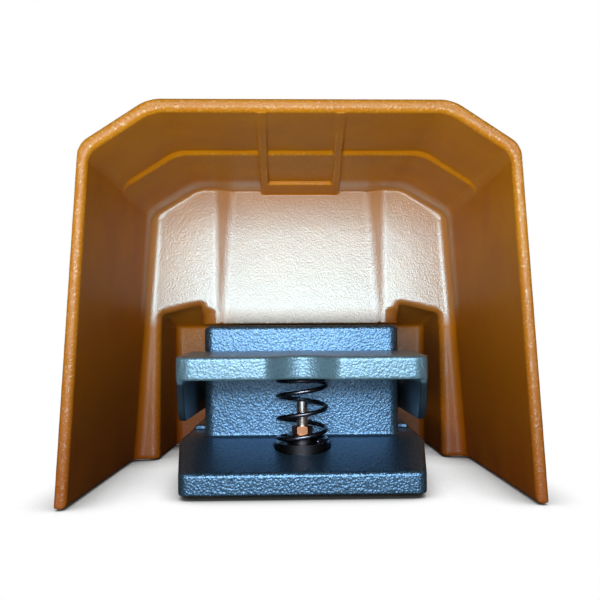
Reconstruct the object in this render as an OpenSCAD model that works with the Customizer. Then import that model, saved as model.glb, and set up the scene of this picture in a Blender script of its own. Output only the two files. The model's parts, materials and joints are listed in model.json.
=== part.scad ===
// Industrial foot switch. A cast base carries a sealed switch box, a sprung pedal straddles the
// box on a through shaft, and a cast hood keeps falling objects off the pedal.
// X runs across, Y from the foot opening (-Y) to the cable entry (+Y), Z up from the floor.
// Depths named "_at" are measured from the front rim of the hood.

/* [Hood] */
// Width across the side walls at the floor
hood_w = 190; // [184:1:206]
// Height of the hood above the floor
hood_h = 157; // [150:1:170]
// Width where the side walls meet the sloped shoulders
shoulder_w = 170.6; // [166:0.2:178]
// Height where the side walls meet the sloped shoulders
shoulder_z = 139.5; // [134:0.5:142]
// Width of the flat roof between the shoulders
roof_w = 117; // [100:1:130]
// Thickness of the side walls
side_wall = 4.8; // [4:0.1:6]
// Thickness of the roof at the front
roof_wall = 5.2; // [4:0.1:7]
// Thickness of the rear walls
rear_wall = 5; // [4:0.1:6]
// Depth of the foot chamber at the floor
chamber_l = 117; // [114:0.5:124]
// How much deeper the foot chamber is at its roof
chamber_lean = 11; // [6:0.5:12]
// Clear width of the rear chamber
rear_w = 154; // [150:1:158]
// Height of the rear doorway at its outer side
door_side_z = 79.6; // [79:0.2:84]
// Height of the rear doorway at its inner side
door_inner_z = 85; // [84.5:0.2:90]
// Height of the rear chamber at its back wall
rear_ceiling_z = 74.5; // [72.5:0.5:78]
// Width of the wall that stands over the switch box
tower_w = 110.6; // [106:0.2:116]
// Gap between the switch box and the wall over it
tower_gap = 2.3; // [1.5:0.1:4]
// Radius on the upright edges of the wall over the box
tower_r = 12; // [6:0.5:13]
// Depth at which the roof thickens
step_at = 55.8; // [46:0.2:80]
// How much the roof thickens there
step_h = 1.8; // [1:0.1:2.4]
// Depth of the second roof step, between the ribs
inner_step_at = 109; // [95:0.5:114]
// How far the ribs and the second step hang below the first
rib_drop = 2.2; // [1:0.1:3]
// Width of a roof rib
rib_w = 4; // [3:0.1:6]
// Distance between the roof ribs at the front
rib_front_gap = 31; // [26:0.5:40]
// Distance between the roof ribs at the back
rib_rear_gap = 39.4; // [30:0.2:48]
// How far the middle of the rear wall lies behind its sides, at the roof
panel_sink = 4.5; // [2:0.1:4.8]
// Radius in the corners between the side walls and the rear wall
fillet_r = 5; // [3:0.5:9]
// Clearance under the edges of the hood
hood_clear = 0.6; // [0.5:0.1:2]

/* [Base] */
// Depth of the toe edge behind the hood's rim
toe_at = 14; // [10:0.5:18]
// Height of the toe edge
toe_h = 11; // [8:0.5:13]
// Height of the ramp where it meets the box
ramp_h = 20.4; // [18:0.2:22]
// Width of the base at the toe
toe_w = 100; // [96:0.5:106]
// Width of the base beside the box
deck_w = 115; // [112:0.5:120]
// Depth at which the side deck begins
deck_at = 86; // [78:0.5:90]
// Height of the side deck
deck_h = 22.7; // [21:0.1:24]
// Height of the casting above the floor
foot_gap = 2; // [1.5:0.1:3]
// Width across the rear feet's wings
wing_w = 128; // [127:1:132]
// Thickness of the wings
wing_t = 8; // [6:0.5:12]
// Distance between the fixing holes across the base
fix_x = 103; // [102.5:0.1:103.5]
// Distance between the fixing holes along the base
fix_y = 38; // [34:0.5:39]
// Depth of the front pair of fixing holes
fix_at = 112; // [110:0.5:114]
// Diameter of a fixing hole
fix_d = 5.5; // [4.5:0.1:5.5]

/* [Switch box] */
// Depth of the box's front wall
box_at = 60.7; // [58.5:0.1:63]
// Width of the box
box_w = 91; // [89:0.5:93]
// Length of the box
box_l = 115.3; // [113:0.1:118]
// Height of the box's lid above the floor
box_top = 71.7; // [69:0.1:73]
// Thickness of the box walls
box_wall = 5; // [4:0.1:6]
// Thickness of the wall that holds the cable entry
entry_wall = 10; // [9:0.5:12]
// Radius on the box's upright edges
box_r = 4; // [2:0.5:6]
// Radius on the box's upper edges
lid_r = 2.5; // [1:0.5:4]

/* [Pedal] */
// Depth of the pedal's front edge
pedal_at = 12; // [8:0.5:14]
// Width of the pedal
pedal_w = 102.4; // [100.4:0.2:103]
// Height of the pedal's top at its front edge
pedal_z = 57.8; // [56:0.1:59]
// Slope of the pedal's top in degrees
pedal_slope = 2.4; // [0:0.1:3]
// Height of the pedal's skirt
skirt_h = 9.4; // [8:0.1:11]
// Thickness of the pedal's top
skin_t = 5; // [4:0.1:6]
// Thickness of the pedal's front skirt
skirt_t = 5; // [3:0.1:6]
// Thickness of the pedal's side cheeks
cheek_t = 3.2; // [2.8:0.1:3.6]
// Radius on the pedal's front corners
corner_r = 6.5; // [3:0.5:9]
// Radius of the hollow in the pedal's front edge
notch_r = 13.5; // [12.5:0.5:16]
// Depth of that hollow
notch_depth = 8; // [4:0.5:9]
// Gap between the pedal and the box's front wall
pedal_gap = 1.4; // [1:0.1:3]
// Lowest point of the pedal's cheeks
cheek_z = 31; // [28:0.5:32]
// Depth of the shaft
pivot_at = 92; // [90:0.5:96]
// Height of the shaft
pivot_z = 44; // [43:0.5:46]
// Diameter of the shaft
shaft_d = 10; // [8:0.5:10]
// Length of the clamping hubs outside the cheeks
hub_l = 5; // [4:0.5:7]
// Diameter of the clamping hubs
hub_d = 22; // [20:0.5:24]
// Pedal travel in degrees
pedal_travel = 10.5; // [6:0.5:11]

/* [Spring and stop] */
// Outside diameter of the return spring
spring_d = 23.4; // [20:0.2:24]
// Wire diameter
wire_d = 2; // [1.6:0.1:2.4]
// Open turns of the spring
open_turns = 2.5; // [2:0.1:3.4]
// Clearance between the spring and the box
spring_gap = 2; // [1.5:0.1:3]
// Thickness of the spring's seat
seat_t = 4.1; // [3:0.1:5]
// Diameter of the stop bolt
bolt_d = 5; // [4:0.5:6]
// Size across the flats of the stop nut
nut_flats = 8; // [7:0.5:10]
// Height of the seat's collar under the nut
collar_h = 3.4; // [3:0.2:7]

/* [Inside] */
// Distance from the shaft to the point that pushes the switch
cam_arm = 22; // [20:0.5:23]
// Half the thickness of the cam's arm
cam_half = 5; // [4:0.5:6]
// Width of the switch
switch_w = 49; // [46:0.5:52]
// Depth of the switch
switch_l = 24; // [22:0.5:26]
// Thickness of the switch
switch_t = 17.5; // [15:0.5:18]
// Diameter of the switch's plunger
plunger_d = 5; // [4:0.5:6]
// How far the plunger stands out of the switch
plunger_out = 7.6; // [6.5:0.1:8.5]
// Thickness of the bottom cover
cover_t = 2; // [1.5:0.1:3]
// Thickness of the cover's gasket
gasket_t = 1.5; // [1:0.1:2]
// Thickness of the switch's bracket
bracket_t = 2; // [1.5:0.1:3]

/* [Cable entry] */
// Height of the cable entry
entry_z = 38; // [34:0.5:42]
// Diameter of the entry's thread
entry_d = 20; // [16:1:25]
// Largest cable that the gland takes
cable_d = 10; // [6:0.5:12]
// Size across the flats of the gland
gland_flats = 24; // [22:0.5:30]

/* [Hidden] */
$fn = 48;

// Colours
paint_orange = [0.80, 0.50, 0.10];
paint_blue = [0.42, 0.55, 0.64];
steel_dark = [0.20, 0.20, 0.22];
steel_bright = [0.72, 0.73, 0.75];
brass = [0.78, 0.62, 0.30];
bronze = [0.62, 0.45, 0.25];
rubber_black = [0.08, 0.08, 0.08];
plastic_black = [0.12, 0.12, 0.13];

// Fits
slip = 0.04;      // running clearance, on the radius
seat = 0.02;      // clearance of a fixed fit, on the radius
air = 0.4;        // distance between the cam and the plunger
eps = 0.01;

// Depths and heights that follow from the sizes above
box_end = box_at + box_l;                  // rear face of the box, and inner face of the hood
rim_end = box_end + rear_wall;             // rear face of the hood
boss_end = rim_end + 3;                    // face of the cable entry's boss
flange_t = 5;                              // thickness of the gland's flange
washer_t = 1.5;                            // thickness of the gland's sealing washer
cap_l = 17;                                // length of the gland's cap nut
overall_l = boss_end + washer_t + flange_t + cap_l;
datum = overall_l / 2;

chamber_floor_w = hood_w - 2 * side_wall;
roof_z = hood_h - roof_wall;
step_z = roof_z - step_h;
rib_z = step_z - rib_drop;
wall_slope = chamber_lean / step_z;

cavity_front = box_at + box_wall;
cavity_rear = box_end - entry_wall;
cavity_w = box_w - 2 * box_wall;
cavity_z = box_top - box_wall;

seat_r = spring_d / 2;
spring_at = box_at - spring_gap - seat_r;
ramp_slope = (ramp_h - toe_h) / (box_at - toe_at);
pocket_z = toe_h + ramp_slope * (spring_at - seat_r - 1 - toe_at) - 0.1;
spring_z = pocket_z + seat_t;              // foot of the spring
nut_t = 4;
nut_z = spring_z + collar_h;

pedal_end = box_at - pedal_gap;
skirt_z = pedal_z - skirt_h;
seat_top = pedal_z - skin_t;               // underside of the pedal's top
head_z = skirt_z - 0.2;                    // head of the spring
pad_d = 14;                                // stop pad inside the spring
pad_drop = 1.4;
pad_z = head_z - pad_drop;
stop_arm = pivot_at - spring_at;
stop_end = pad_z - stop_arm * sin(pedal_travel) - 0.45;
cheek_in = pedal_w / 2 - cheek_t;
hub_end = pedal_w / 2 + hub_l;
pin_d = 4;

cam_face = pivot_at + cam_half;
case_at = cam_face + air + plunger_out;
plunger_z = pivot_z - cam_arm;
case_top = plunger_z + switch_t / 2;
case_low = case_top - switch_t;
plunger_in = 8;
bracket_top = case_top + bracket_t;
post_x = cavity_w / 2 - 8;
post_y = case_at + switch_l / 2;
hole_x = 12.7;                             // switch fixing holes, each side of the middle

cover_z = foot_gap;
gasket_z = cover_z + cover_t;
ledge_z = gasket_z + gasket_t;
ledge_w = 6.5;
cover_x = cavity_w / 2 + ledge_w - 0.3;
cover_y0 = cavity_front - ledge_w + 0.3;
cover_y1 = cavity_rear + ledge_w - 0.3;
screw_x = cavity_w / 2 + ledge_w / 2;
screw_ys = [cavity_front + 2, (cavity_front + cavity_rear) / 2, cavity_rear - 2];

bolt_x = 34;                               // hood screws
bolt_zs = [20, 56];
washer_r = 6;
earth_pos = [-28, cavity_rear - 16];
earth_post_z = 34;

foot_r = 6.5;
foot_front = [toe_w / 2 - 12, toe_at + 12];
foot_rear = [cover_x + foot_r + 2.5, box_end - 12];

// ---- Helpers ----

function unit(v) = v / norm(v);

// Points of an arc of radius r that rounds the corner b between a and c
function corner_arc(a, b, c, r, n) =
    let (u = unit(a - b), v = unit(c - b), h = acos(u * v) / 2)
    let (m = b + unit(u + v) * r / sin(h), s = b + u * r / tan(h) - m, e = b + v * r / tan(h) - m)
    let (start = atan2(s.y, s.x), sweep = (180 - 2 * h) * sign(cross(s, e)))
    [for (i = [0:n]) m + r * [cos(start + sweep * i / n), sin(start + sweep * i / n)]];

// An outline with each corner rounded by the radius of the same index
function rounded(p, radii, n = 6) =
    let (k = len(p))
    [for (i = [0:k - 1])
        each radii[i] > 0 ? corner_arc(p[(i + k - 1) % k], p[i], p[(i + 1) % k], radii[i], n) : [p[i]]];

// A half outline with its mirror image, for outlines that are even about X = 0
function both_sides(p) = concat(p, [for (i = [len(p) - 1:-1:0]) [-p[i].x, p[i].y]]);
function both_radii(r) = concat(r, [for (i = [len(r) - 1:-1:0]) r[i]]);

// Moves children from depths to the part's frame
module placed() translate([0, -datum, 0]) children();

// Extrudes an X-Z outline from depth y0 to y1
module along_y(y0, y1) translate([0, y1, 0]) rotate([90, 0, 0]) linear_extrude(y1 - y0) children();

// Extrudes a Y-Z outline from x0 to x1
module along_x(x0, x1) translate([x0, 0, 0]) rotate([90, 0, 90]) linear_extrude(x1 - x0) children();

// A round bar along X, from x0 to x1
module bar_x(x0, x1, r) translate([x0, 0, 0]) rotate([0, 90, 0]) cylinder(h = x1 - x0, r = r);

// A round bar along Y, from y0 to y1
module bar_y(y0, y1, r) translate([0, y0, 0]) rotate([-90, 0, 0]) cylinder(h = y1 - y0, r = r);

// A hexagonal bar along Z
module hex_bar(flats, h) cylinder(h = h, d = flats / cos(30), $fn = 6);

// A rectangle with round corners, as true arcs
module round_rect(x0, x1, y0, y1, r) {
    translate([x0 + r, y0]) square([x1 - x0 - 2 * r, y1 - y0]);
    translate([x0, y0 + r]) square([x1 - x0, y1 - y0 - 2 * r]);
    for (x = [x0 + r, x1 - r], y = [y0 + r, y1 - r]) translate([x, y]) circle(r = r);
}

module mirror_copy() {
    children();
    mirror([1, 0, 0]) children();
}

// A pan-headed screw along -Z, its head's seat at z = 0
module pan_screw(d, l, head_d, head_h, slot_w) {
    difference() {
        union() {
            translate([0, 0, -l]) cylinder(h = l + eps, d = d);
            cylinder(h = head_h, d = head_d);
        }
        for (a = [0, 90]) rotate([0, 0, a])
            translate([-head_d * 0.3, -slot_w / 2, head_h * 0.5]) cube([head_d * 0.6, slot_w, head_h]);
    }
}

// ---- Hood ----

// Half width of a side wall's face at height z, "side" in from the outside
function wall_x(z, side) = hood_w / 2 - side + (shoulder_w - hood_w + 0.2 * side) / 2 * z / shoulder_z;

// Outline across the hood, shrunk by "side" at the walls and by "roof" at the top
function hood_half(side, shoulder, roof, bottom) = [
    [wall_x(bottom, side), bottom],
    [wall_x(shoulder_z - shoulder, side), shoulder_z - shoulder],
    [roof_w / 2 - roof * 0.3, hood_h - roof]];

module hood_outline(side, shoulder, roof, bottom, low_r, high_r) {
    half = hood_half(side, shoulder, roof, bottom);
    polygon(rounded(both_sides(half), both_radii([0, low_r, high_r])));
}

module hood_shell() {
    front_r = 1.6;
    // foot chamber
    intersection() {
        union() {
            hull() {
                along_y(0, eps) hood_outline(front_r, front_r, front_r, hood_clear, 6, 5);
                along_y(front_r, front_r + eps) hood_outline(0, 0, 0, hood_clear, 7, 6);
            }
            along_y(front_r, chamber_l + 40) hood_outline(0, 0, 0, hood_clear, 7, 6);
        }
        along_x(-hood_w, hood_w) polygon(rounded([
            [-1, -1],
            [chamber_l + rear_wall, -1],
            [chamber_l + rear_wall + panel_sink + wall_slope * hood_h, hood_h + eps],
            [-1, hood_h + eps]], [0, 0, 8, 0]));
    }
    // rear chamber
    intersection() {
        along_y(chamber_l, rim_end) polygon(rounded(both_sides([
            [rear_w / 2 + rear_wall, hood_clear],
            [rear_w / 2 + rear_wall - 2, door_side_z + 4],
            [tower_w / 2, door_inner_z + rear_wall + 3]]), both_radii([0, 8, 8])));
        along_x(-hood_w, hood_w) polygon(rounded([
            [chamber_l, -1],
            [rim_end, -1],
            [rim_end, rear_ceiling_z + rear_wall],
            [chamber_l + chamber_lean + rear_wall, door_inner_z + rear_wall + 3],
            [chamber_l, door_inner_z + rear_wall + 3]], [0, 0, 8, 0, 0]));
    }
}

// Fillets along the leaning corners between the side walls and the rear wall
module corner_fillets() {
    foot = [wall_x(0, side_wall), chamber_l];
    head = [wall_x(shoulder_z, side_wall), chamber_l + wall_slope * shoulder_z];
    run = [head.x - foot.x, head.y - foot.y, shoulder_z];
    mirror_copy() translate([foot.x, foot.y, 0]) rotate([-asin(run.y / norm(run)), atan2(run.x, run.z), 0])
        translate([-fillet_r, -fillet_r, -10]) linear_extrude(hood_h + 10) difference() {
            square(fillet_r + 1.5);
            circle(r = fillet_r + 0.3);
        }
}

// The foot chamber, with its leaning rear wall
module foot_chamber() difference() {
    rim_r = 2.6;
    intersection() {
        union() {
            hull() {
                along_y(-eps, 0) hood_outline(side_wall - rim_r, 3.4 - rim_r, roof_wall - rim_r, -2, 5, 4);
                along_y(rim_r, rim_r + eps) hood_outline(side_wall, 3.4, roof_wall, -2, 5, 4);
            }
            along_y(rim_r, chamber_l + 40) hood_outline(side_wall, 3.4, roof_wall, -2, 5, 4);
        }
        along_x(-hood_w, hood_w) polygon(rounded([
            [-1, -3],
            [chamber_l - wall_slope * 3, -3],
            [chamber_l + wall_slope * hood_h, hood_h],
            [-1, hood_h]], [0, 0, 0, 0]));
    }
    corner_fillets();
}

// The thicker rear part of the roof and the shoulders
module roof_step() {
    roof = [roof_w / 2 - (roof_wall + step_h) * 0.3, step_z];
    low = shoulder_z - 3.4 - step_h * 0.4;
    wall = [wall_x(low, side_wall), low];
    edge = wall + unit(wall - roof) * side_wall * 0.6;
    along_y(step_at, chamber_l + chamber_lean + 4) polygon(rounded(both_sides([
        [roof_w / 2 - 1, roof_z + 1], edge + [-0.4, step_h + 1], edge, roof]), both_radii([0, 0, 0, 4])));
}

// The sunk middle of the rear wall: a wide tapered recess, deepest at the roof
module sunk_panel() {
    low = box_top + tower_gap - 2;
    high = step_z + 0.3;
    hull() {
        for (level = [[low, 46.5, 43, 1.4], [high, 47.4, 37.8, panel_sink]]) {
            face = chamber_l + wall_slope * level[0];
            translate([0, 0, level[0]]) linear_extrude(0.2) polygon([
                [-level[1], face - 0.6], [level[1], face - 0.6],
                [level[2], face + level[3]], [-level[2], face + level[3]]]);
        }
    }
}

// The rear chamber with its two doorways, open to the floor
module rear_chamber() {
    tower_z = box_top + tower_gap;
    intersection() {
        along_y(chamber_l - 10, box_end) polygon(rounded(both_sides([
            [rear_w / 2, -2],
            [rear_w / 2, door_side_z],
            [tower_w / 2, door_inner_z],
            [tower_w / 2, tower_z]]), both_radii([0, 3, 0, 0])));
        along_x(-hood_w, hood_w) polygon([
            [chamber_l - 11, -3],
            [box_end, -3],
            [box_end, rear_ceiling_z],
            [chamber_l + 8, door_inner_z + 0.5],
            [chamber_l - 11, door_inner_z + 0.5]]);
    }
    // round upright edges beside the doorways, up to the line of the lintels
    face = chamber_l + wall_slope * tower_z;
    lintel = (door_inner_z - door_side_z) / (rear_w / 2 - tower_w / 2);
    inner = tower_w / 2 - tower_r;
    mirror_copy() intersection() {
        linear_extrude(hood_h) difference() {
            translate([inner, face - 2]) square([tower_r + 0.5, tower_r + 3]);
            translate([inner, face + tower_r + 1.4]) circle(r = tower_r);
        }
        along_y(face - 3, face + tower_r + 1.4) polygon([
            [inner - 1, tower_z - 2], [tower_w / 2 + 1, tower_z - 2],
            [tower_w / 2 + 1, door_inner_z - lintel], [inner - 1, door_inner_z + lintel * (tower_r + 1)]]);
    }
}

// The two ribs under the roof and the step between them
module roof_ribs() {
    rear = chamber_l + chamber_lean + 3;
    intersection() {
        union() {
            mirror_copy() linear_extrude(hood_h) polygon([
                [rib_front_gap / 2 - rib_w / 2, 3], [rib_front_gap / 2 + rib_w / 2, 3],
                [rib_rear_gap / 2 + rib_w / 2, rear], [rib_rear_gap / 2 - rib_w / 2, rear]]);
            translate([-rib_rear_gap / 2, inner_step_at, 0]) cube([rib_rear_gap, rear - inner_step_at, hood_h]);
        }
        along_x(-rib_rear_gap, rib_rear_gap) polygon([
            [3, roof_z - 0.1], [inner_step_at, rib_z], [rear, rib_z], [rear, roof_z + 1], [3, roof_z + 1]]);
    }
}

module hood() {
    color(paint_orange) placed() {
        difference() {
            union() {
                difference() {
                    hood_shell();
                    foot_chamber();
                }
                roof_step();
            }
            rear_chamber();
            sunk_panel();
            translate([0, 0, entry_z]) bar_y(box_end - 1, rim_end + 1, boss_r() + 0.4);
            for (x = [-bolt_x, bolt_x], z = bolt_zs) translate([x, 0, z]) bar_y(box_end - 1, rim_end + 1, 3.2);
        }
        roof_ribs();
    }
}

module hood_screws() {
    color(steel_bright) placed() for (x = [-bolt_x, bolt_x], z = bolt_zs)
        translate([x, rim_end + 1.2, z]) rotate([-90, 0, 0]) difference() {
            union() {
                translate([0, 0, -entry_wall - 4]) cylinder(h = entry_wall + 4 + eps, d = 6);
                cylinder(h = 6, d = 10);
            }
            translate([0, 0, 3]) hex_bar(5, 4);
        }
}

module hood_washers() {
    color(steel_bright) placed() for (x = [-bolt_x, bolt_x], z = bolt_zs)
        translate([x, rim_end, z]) rotate([-90, 0, 0]) difference() {
            cylinder(h = 1.2, r = washer_r);
            translate([0, 0, -1]) cylinder(h = 4, r = 3.2);
        }
}

// ---- Base ----

function boss_r() = entry_d / 2 + 5;

// Ramp and side deck, cut from plan, side and front outlines
module ramp_and_deck() {
    chamfer = 4;
    intersection() {
        translate([0, 0, foot_gap]) linear_extrude(deck_h + 1) polygon(rounded(both_sides([
            [toe_w / 2, toe_at], [deck_w / 2 - 0.5, box_at], [deck_w / 2, deck_at], [deck_w / 2, box_end]]),
            both_radii([3, 0, 0, 3])));
        along_x(-deck_w, deck_w) polygon(rounded([
            [toe_at, foot_gap - eps], [toe_at, toe_h], [box_at, ramp_h], [deck_at, ramp_h],
            [deck_at, deck_h], [box_end, deck_h], [box_end, foot_gap - eps]], [2, 1.4, 0, 0, 0, 0, 0]));
        along_y(0, box_end) polygon(both_sides([
            [deck_w / 2 + 1, 0], [deck_w / 2 + 1, ramp_h - chamfer],
            [deck_w / 2 - chamfer, ramp_h + 1], [deck_w / 2 - chamfer, deck_h + 1]]));
    }
}

// Wings that carry the rear feet, behind the shoulders of the deck
module wings() {
    translate([0, 0, foot_gap]) linear_extrude(wing_t)
        round_rect(-wing_w / 2, wing_w / 2, foot_rear.y - 30, box_end - 1, 5);
}

module box_outside() {
    intersection() {
        linear_extrude(box_top) round_rect(-box_w / 2, box_w / 2, box_at, box_end, box_r);
        along_y(0, box_end + 1) difference() {
            round_rect(-box_w / 2, box_w / 2, foot_gap, box_top, lid_r);
        }
        along_x(-box_w, box_w) round_rect(box_at, box_end, foot_gap, box_top, lid_r);
    }
    translate([0, 0, entry_z]) bar_y(box_end - 1, boss_end, boss_r());
}

// Hollow of the box, its cover ledge and the posts that hang from its lid
module box_inside() {
    difference() {
        translate([0, 0, ledge_z]) linear_extrude(cavity_z - ledge_z)
            round_rect(-cavity_w / 2, cavity_w / 2, cavity_front, cavity_rear, 3);
        for (x = [-post_x, post_x]) translate([x, post_y, bracket_top]) cylinder(h = cavity_z, r = 5);
        translate([earth_pos.x, earth_pos.y, earth_post_z]) cylinder(h = cavity_z, r = 6);
        translate([0, pivot_at, pivot_z]) mirror_copy() bar_x(cavity_w / 2 - 6, cavity_w / 2 + 1, 12);
    }
    translate([0, 0, -1]) linear_extrude(ledge_z + 1 + eps)
        round_rect(-cover_x - 0.3, cover_x + 0.3, cover_y0 - 0.3, cover_y1 + 0.3, 4);
}

module base_casting() {
    color(paint_blue) placed() difference() {
        union() {
            ramp_and_deck();
            wings();
            box_outside();
        }
        box_inside();
        // spring pocket and stop bolt
        translate([0, spring_at, pocket_z]) cylinder(h = 20, r = seat_r + 0.9);
        translate([0, spring_at, foot_gap + 4]) cylinder(h = 20, d = bolt_d + 2 * seat);
        // shaft seats: seal inside, bush outside
        translate([0, pivot_at, pivot_z]) mirror_copy() {
            bar_x(cavity_w / 2 - 8, box_w / 2 + 1, shaft_d / 2 + 2 + seat);
            bar_x(cavity_w / 2 - 7, cavity_w / 2 - 2, shaft_d / 2 + 3.5);
        }
        // cable entry and hood screws
        translate([0, 0, entry_z]) bar_y(cavity_rear - 1, boss_end + 1, entry_d / 2 + seat);
        for (x = [-bolt_x, bolt_x], z = bolt_zs)
            translate([x, 0, z]) bar_y(box_end - entry_wall + 0.6, box_end + 1, 3 + seat);
        // threads for bracket, earth and cover screws
        for (x = [-post_x, post_x]) translate([x, post_y, bracket_top - 1]) cylinder(h = 11, d = 4 + 2 * seat);
        translate([earth_pos.x, earth_pos.y, earth_post_z - 1]) cylinder(h = 11, d = 5 + 2 * seat);
        for (x = [-screw_x, screw_x], y = screw_ys) translate([x, y, ledge_z - 1]) cylinder(h = 8, d = 3 + 2 * seat);
        // fixing holes and foot recesses
        for (x = [-fix_x / 2, fix_x / 2], y = [fix_at, fix_at + fix_y])
            translate([x, y, 0]) cylinder(h = deck_h + 1, d = fix_d);
        for (p = [foot_front, foot_rear]) mirror_copy()
            translate([p.x, p.y, 0]) cylinder(h = foot_gap + 1, r = foot_r + seat);
    }
}

module bottom_cover() {
    color(steel_bright) placed() difference() {
        translate([0, 0, cover_z]) linear_extrude(cover_t) difference() {
            round_rect(-cover_x, cover_x, cover_y0, cover_y1, 3.7);
        }
        for (x = [-screw_x, screw_x], y = screw_ys) translate([x, y, cover_z - 1]) {
            cylinder(h = 6, d = 3.4);
            translate([0, 0, 1 - eps]) cylinder(h = 1.5, d1 = 6.1, d2 = 3.1);
        }
    }
}

module cover_gasket() {
    inset = 0.8;
    color(rubber_black) placed() translate([0, 0, gasket_z]) linear_extrude(gasket_t) difference() {
        round_rect(-cover_x, cover_x, cover_y0, cover_y1, 3.7);
        round_rect(-cavity_w / 2 - inset, cavity_w / 2 + inset, cavity_front - inset, cavity_rear + inset, 3);
        for (x = [-screw_x, screw_x], y = screw_ys) translate([x, y]) circle(d = 3.4);
    }
}

module cover_screws() {
    color(steel_bright) placed() for (x = [-screw_x, screw_x], y = screw_ys)
        translate([x, y, cover_z]) difference() {
            union() {
                cylinder(h = cover_t + gasket_t + 6, d = 3);
                cylinder(h = 1.4, d1 = 5.9, d2 = 3);
            }
            for (a = [0, 90]) rotate([0, 0, a]) translate([-1.6, -0.3, -eps]) cube([3.2, 0.6, 0.8]);
        }
}

module rubber_feet() {
    color(rubber_black) placed() for (p = [foot_front, foot_rear]) mirror_copy()
        translate([p.x, p.y, 0]) rotate_extrude() polygon([
            [0, 0], [foot_r - 1, 0], [foot_r, 0.9], [foot_r, foot_gap + 1], [0, foot_gap + 1]]);
}

// ---- Shaft, seals and pedal ----

module shaft_bushes() {
    color(bronze) placed() translate([0, pivot_at, pivot_z]) mirror_copy() difference() {
        union() {
            bar_x(cavity_w / 2 - 2, box_w / 2, shaft_d / 2 + 2);
            bar_x(box_w / 2, box_w / 2 + 1.1, shaft_d / 2 + 4.5);
        }
        bar_x(cavity_w / 2 - 3, box_w / 2 + 3, shaft_d / 2 + slip);
    }
}

module shaft_seals() {
    color(rubber_black) placed() translate([0, pivot_at, pivot_z]) mirror_copy() difference() {
        bar_x(cavity_w / 2 - 6.7, cavity_w / 2 - 2.2, shaft_d / 2 + 3.4);
        bar_x(cavity_w / 2 - 8, cavity_w / 2 + 1, shaft_d / 2 + slip);
    }
}

module pivot_shaft() {
    color(steel_bright) placed() translate([0, pivot_at, pivot_z]) difference() {
        union() {
            bar_x(-hub_end + 0.5, hub_end - 0.5, shaft_d / 2);
            mirror_copy() translate([hub_end - 0.5 - eps, 0, 0]) rotate([0, 90, 0])
                cylinder(h = 0.8, r1 = shaft_d / 2, r2 = shaft_d / 2 - 0.8);
        }
        mirror_copy() translate([pedal_w / 2 + hub_l / 2, 0, 0]) cylinder(h = hub_d, d = pin_d + 2 * seat, center = true);
    }
}

// Roll pins that lock the pedal's hubs to the shaft
module shaft_pins() {
    color(steel_dark) placed() translate([0, pivot_at, pivot_z]) mirror_copy()
        translate([pedal_w / 2 + hub_l / 2, 0, 0]) difference() {
            cylinder(h = hub_d - 2, d = pin_d, center = true);
            cylinder(h = hub_d, d = pin_d - 1.6, center = true);
        }
}

// Side view of a cheek: it hangs from the top and rounds the shaft
module cheek_outline() {
    top_end = pedal_z + tan(pedal_slope) * (pedal_end - pedal_at) - 0.6;
    swing_r = pivot_z - cheek_z;
    polygon(rounded([
        [pedal_at + 3, skirt_z - 0.5], [pedal_at + 9, cheek_z], [pivot_at, cheek_z],
        [pivot_at, pivot_z + swing_r - 0.6], [pedal_end, top_end], [pedal_at + 3, pedal_z - 1]],
        [0, 6, 0, 0, 0, 0]));
    translate([pivot_at, pivot_z]) circle(r = swing_r);
}

// Plan of the pedal: round front corners and a hollow in the middle of the front edge
module pedal_plan() {
    lip_r = 3.5;
    lip_y = pedal_at + lip_r;
    centre_y = pedal_at + notch_depth - notch_r;
    lip_x = sqrt(pow(notch_r + lip_r, 2) - pow(lip_y - centre_y, 2));
    touch = [0, centre_y] + unit([lip_x, lip_y - centre_y]) * notch_r;
    difference() {
        union() {
            round_rect(-pedal_w / 2, pedal_w / 2, pedal_at, pedal_at + 20, corner_r);
            translate([-pedal_w / 2, pedal_at + 10]) square([pedal_w, pivot_at + 20 - pedal_at - 10]);
        }
        translate([0, centre_y]) circle(r = notch_r);
        difference() {
            translate([-lip_x, pedal_at - 5]) square([2 * lip_x, touch.y - pedal_at + 5]);
            mirror_copy() translate([lip_x, lip_y]) circle(r = lip_r);
        }
    }
}

module pedal_solid() {
    rise = tan(pedal_slope) * (pedal_end - pedal_at);
    top = [pedal_end, pedal_z + rise];
    intersection() {
        translate([0, 0, cheek_z - 5]) linear_extrude(60) pedal_plan();
        union() {
            difference() {
                // plate with its skirt
                along_x(-pedal_w / 2, pedal_w / 2) polygon(rounded([
                    [pedal_at - 1, skirt_z], [pedal_at - 1, pedal_z - tan(pedal_slope)], top,
                    [pedal_end, skirt_z]], [0, 0, 0, 0]));
                // hollow underneath
                along_x(-cheek_in, cheek_in) polygon([
                    [pedal_at + notch_depth + skirt_t, skirt_z - 1],
                    [pedal_at + notch_depth + skirt_t, seat_top],
                    [pedal_end - 3.5, seat_top + rise * 0.8], [pedal_end - 3.5, skirt_z - 1]]);
            }
            along_x(-pedal_w / 2, -cheek_in) cheek_outline();
            along_x(cheek_in, pedal_w / 2) cheek_outline();
            // spring seat and stop pad
            translate([0, spring_at, head_z]) cylinder(h = seat_top - head_z + 1, r = seat_r + 0.6);
            translate([0, spring_at, pad_z]) cylinder(h = pad_drop + 2, d = pad_d);
            // stiffening ribs
            for (x = [-1, 1]) translate([x * (seat_r + 12) - 1.5, pedal_at + 8, skirt_z + 2])
                cube([3, pedal_end - pedal_at - 10, skin_t]);
        }
    }
    translate([0, pivot_at, pivot_z]) mirror_copy() bar_x(cheek_in, hub_end, hub_d / 2);
}

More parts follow.
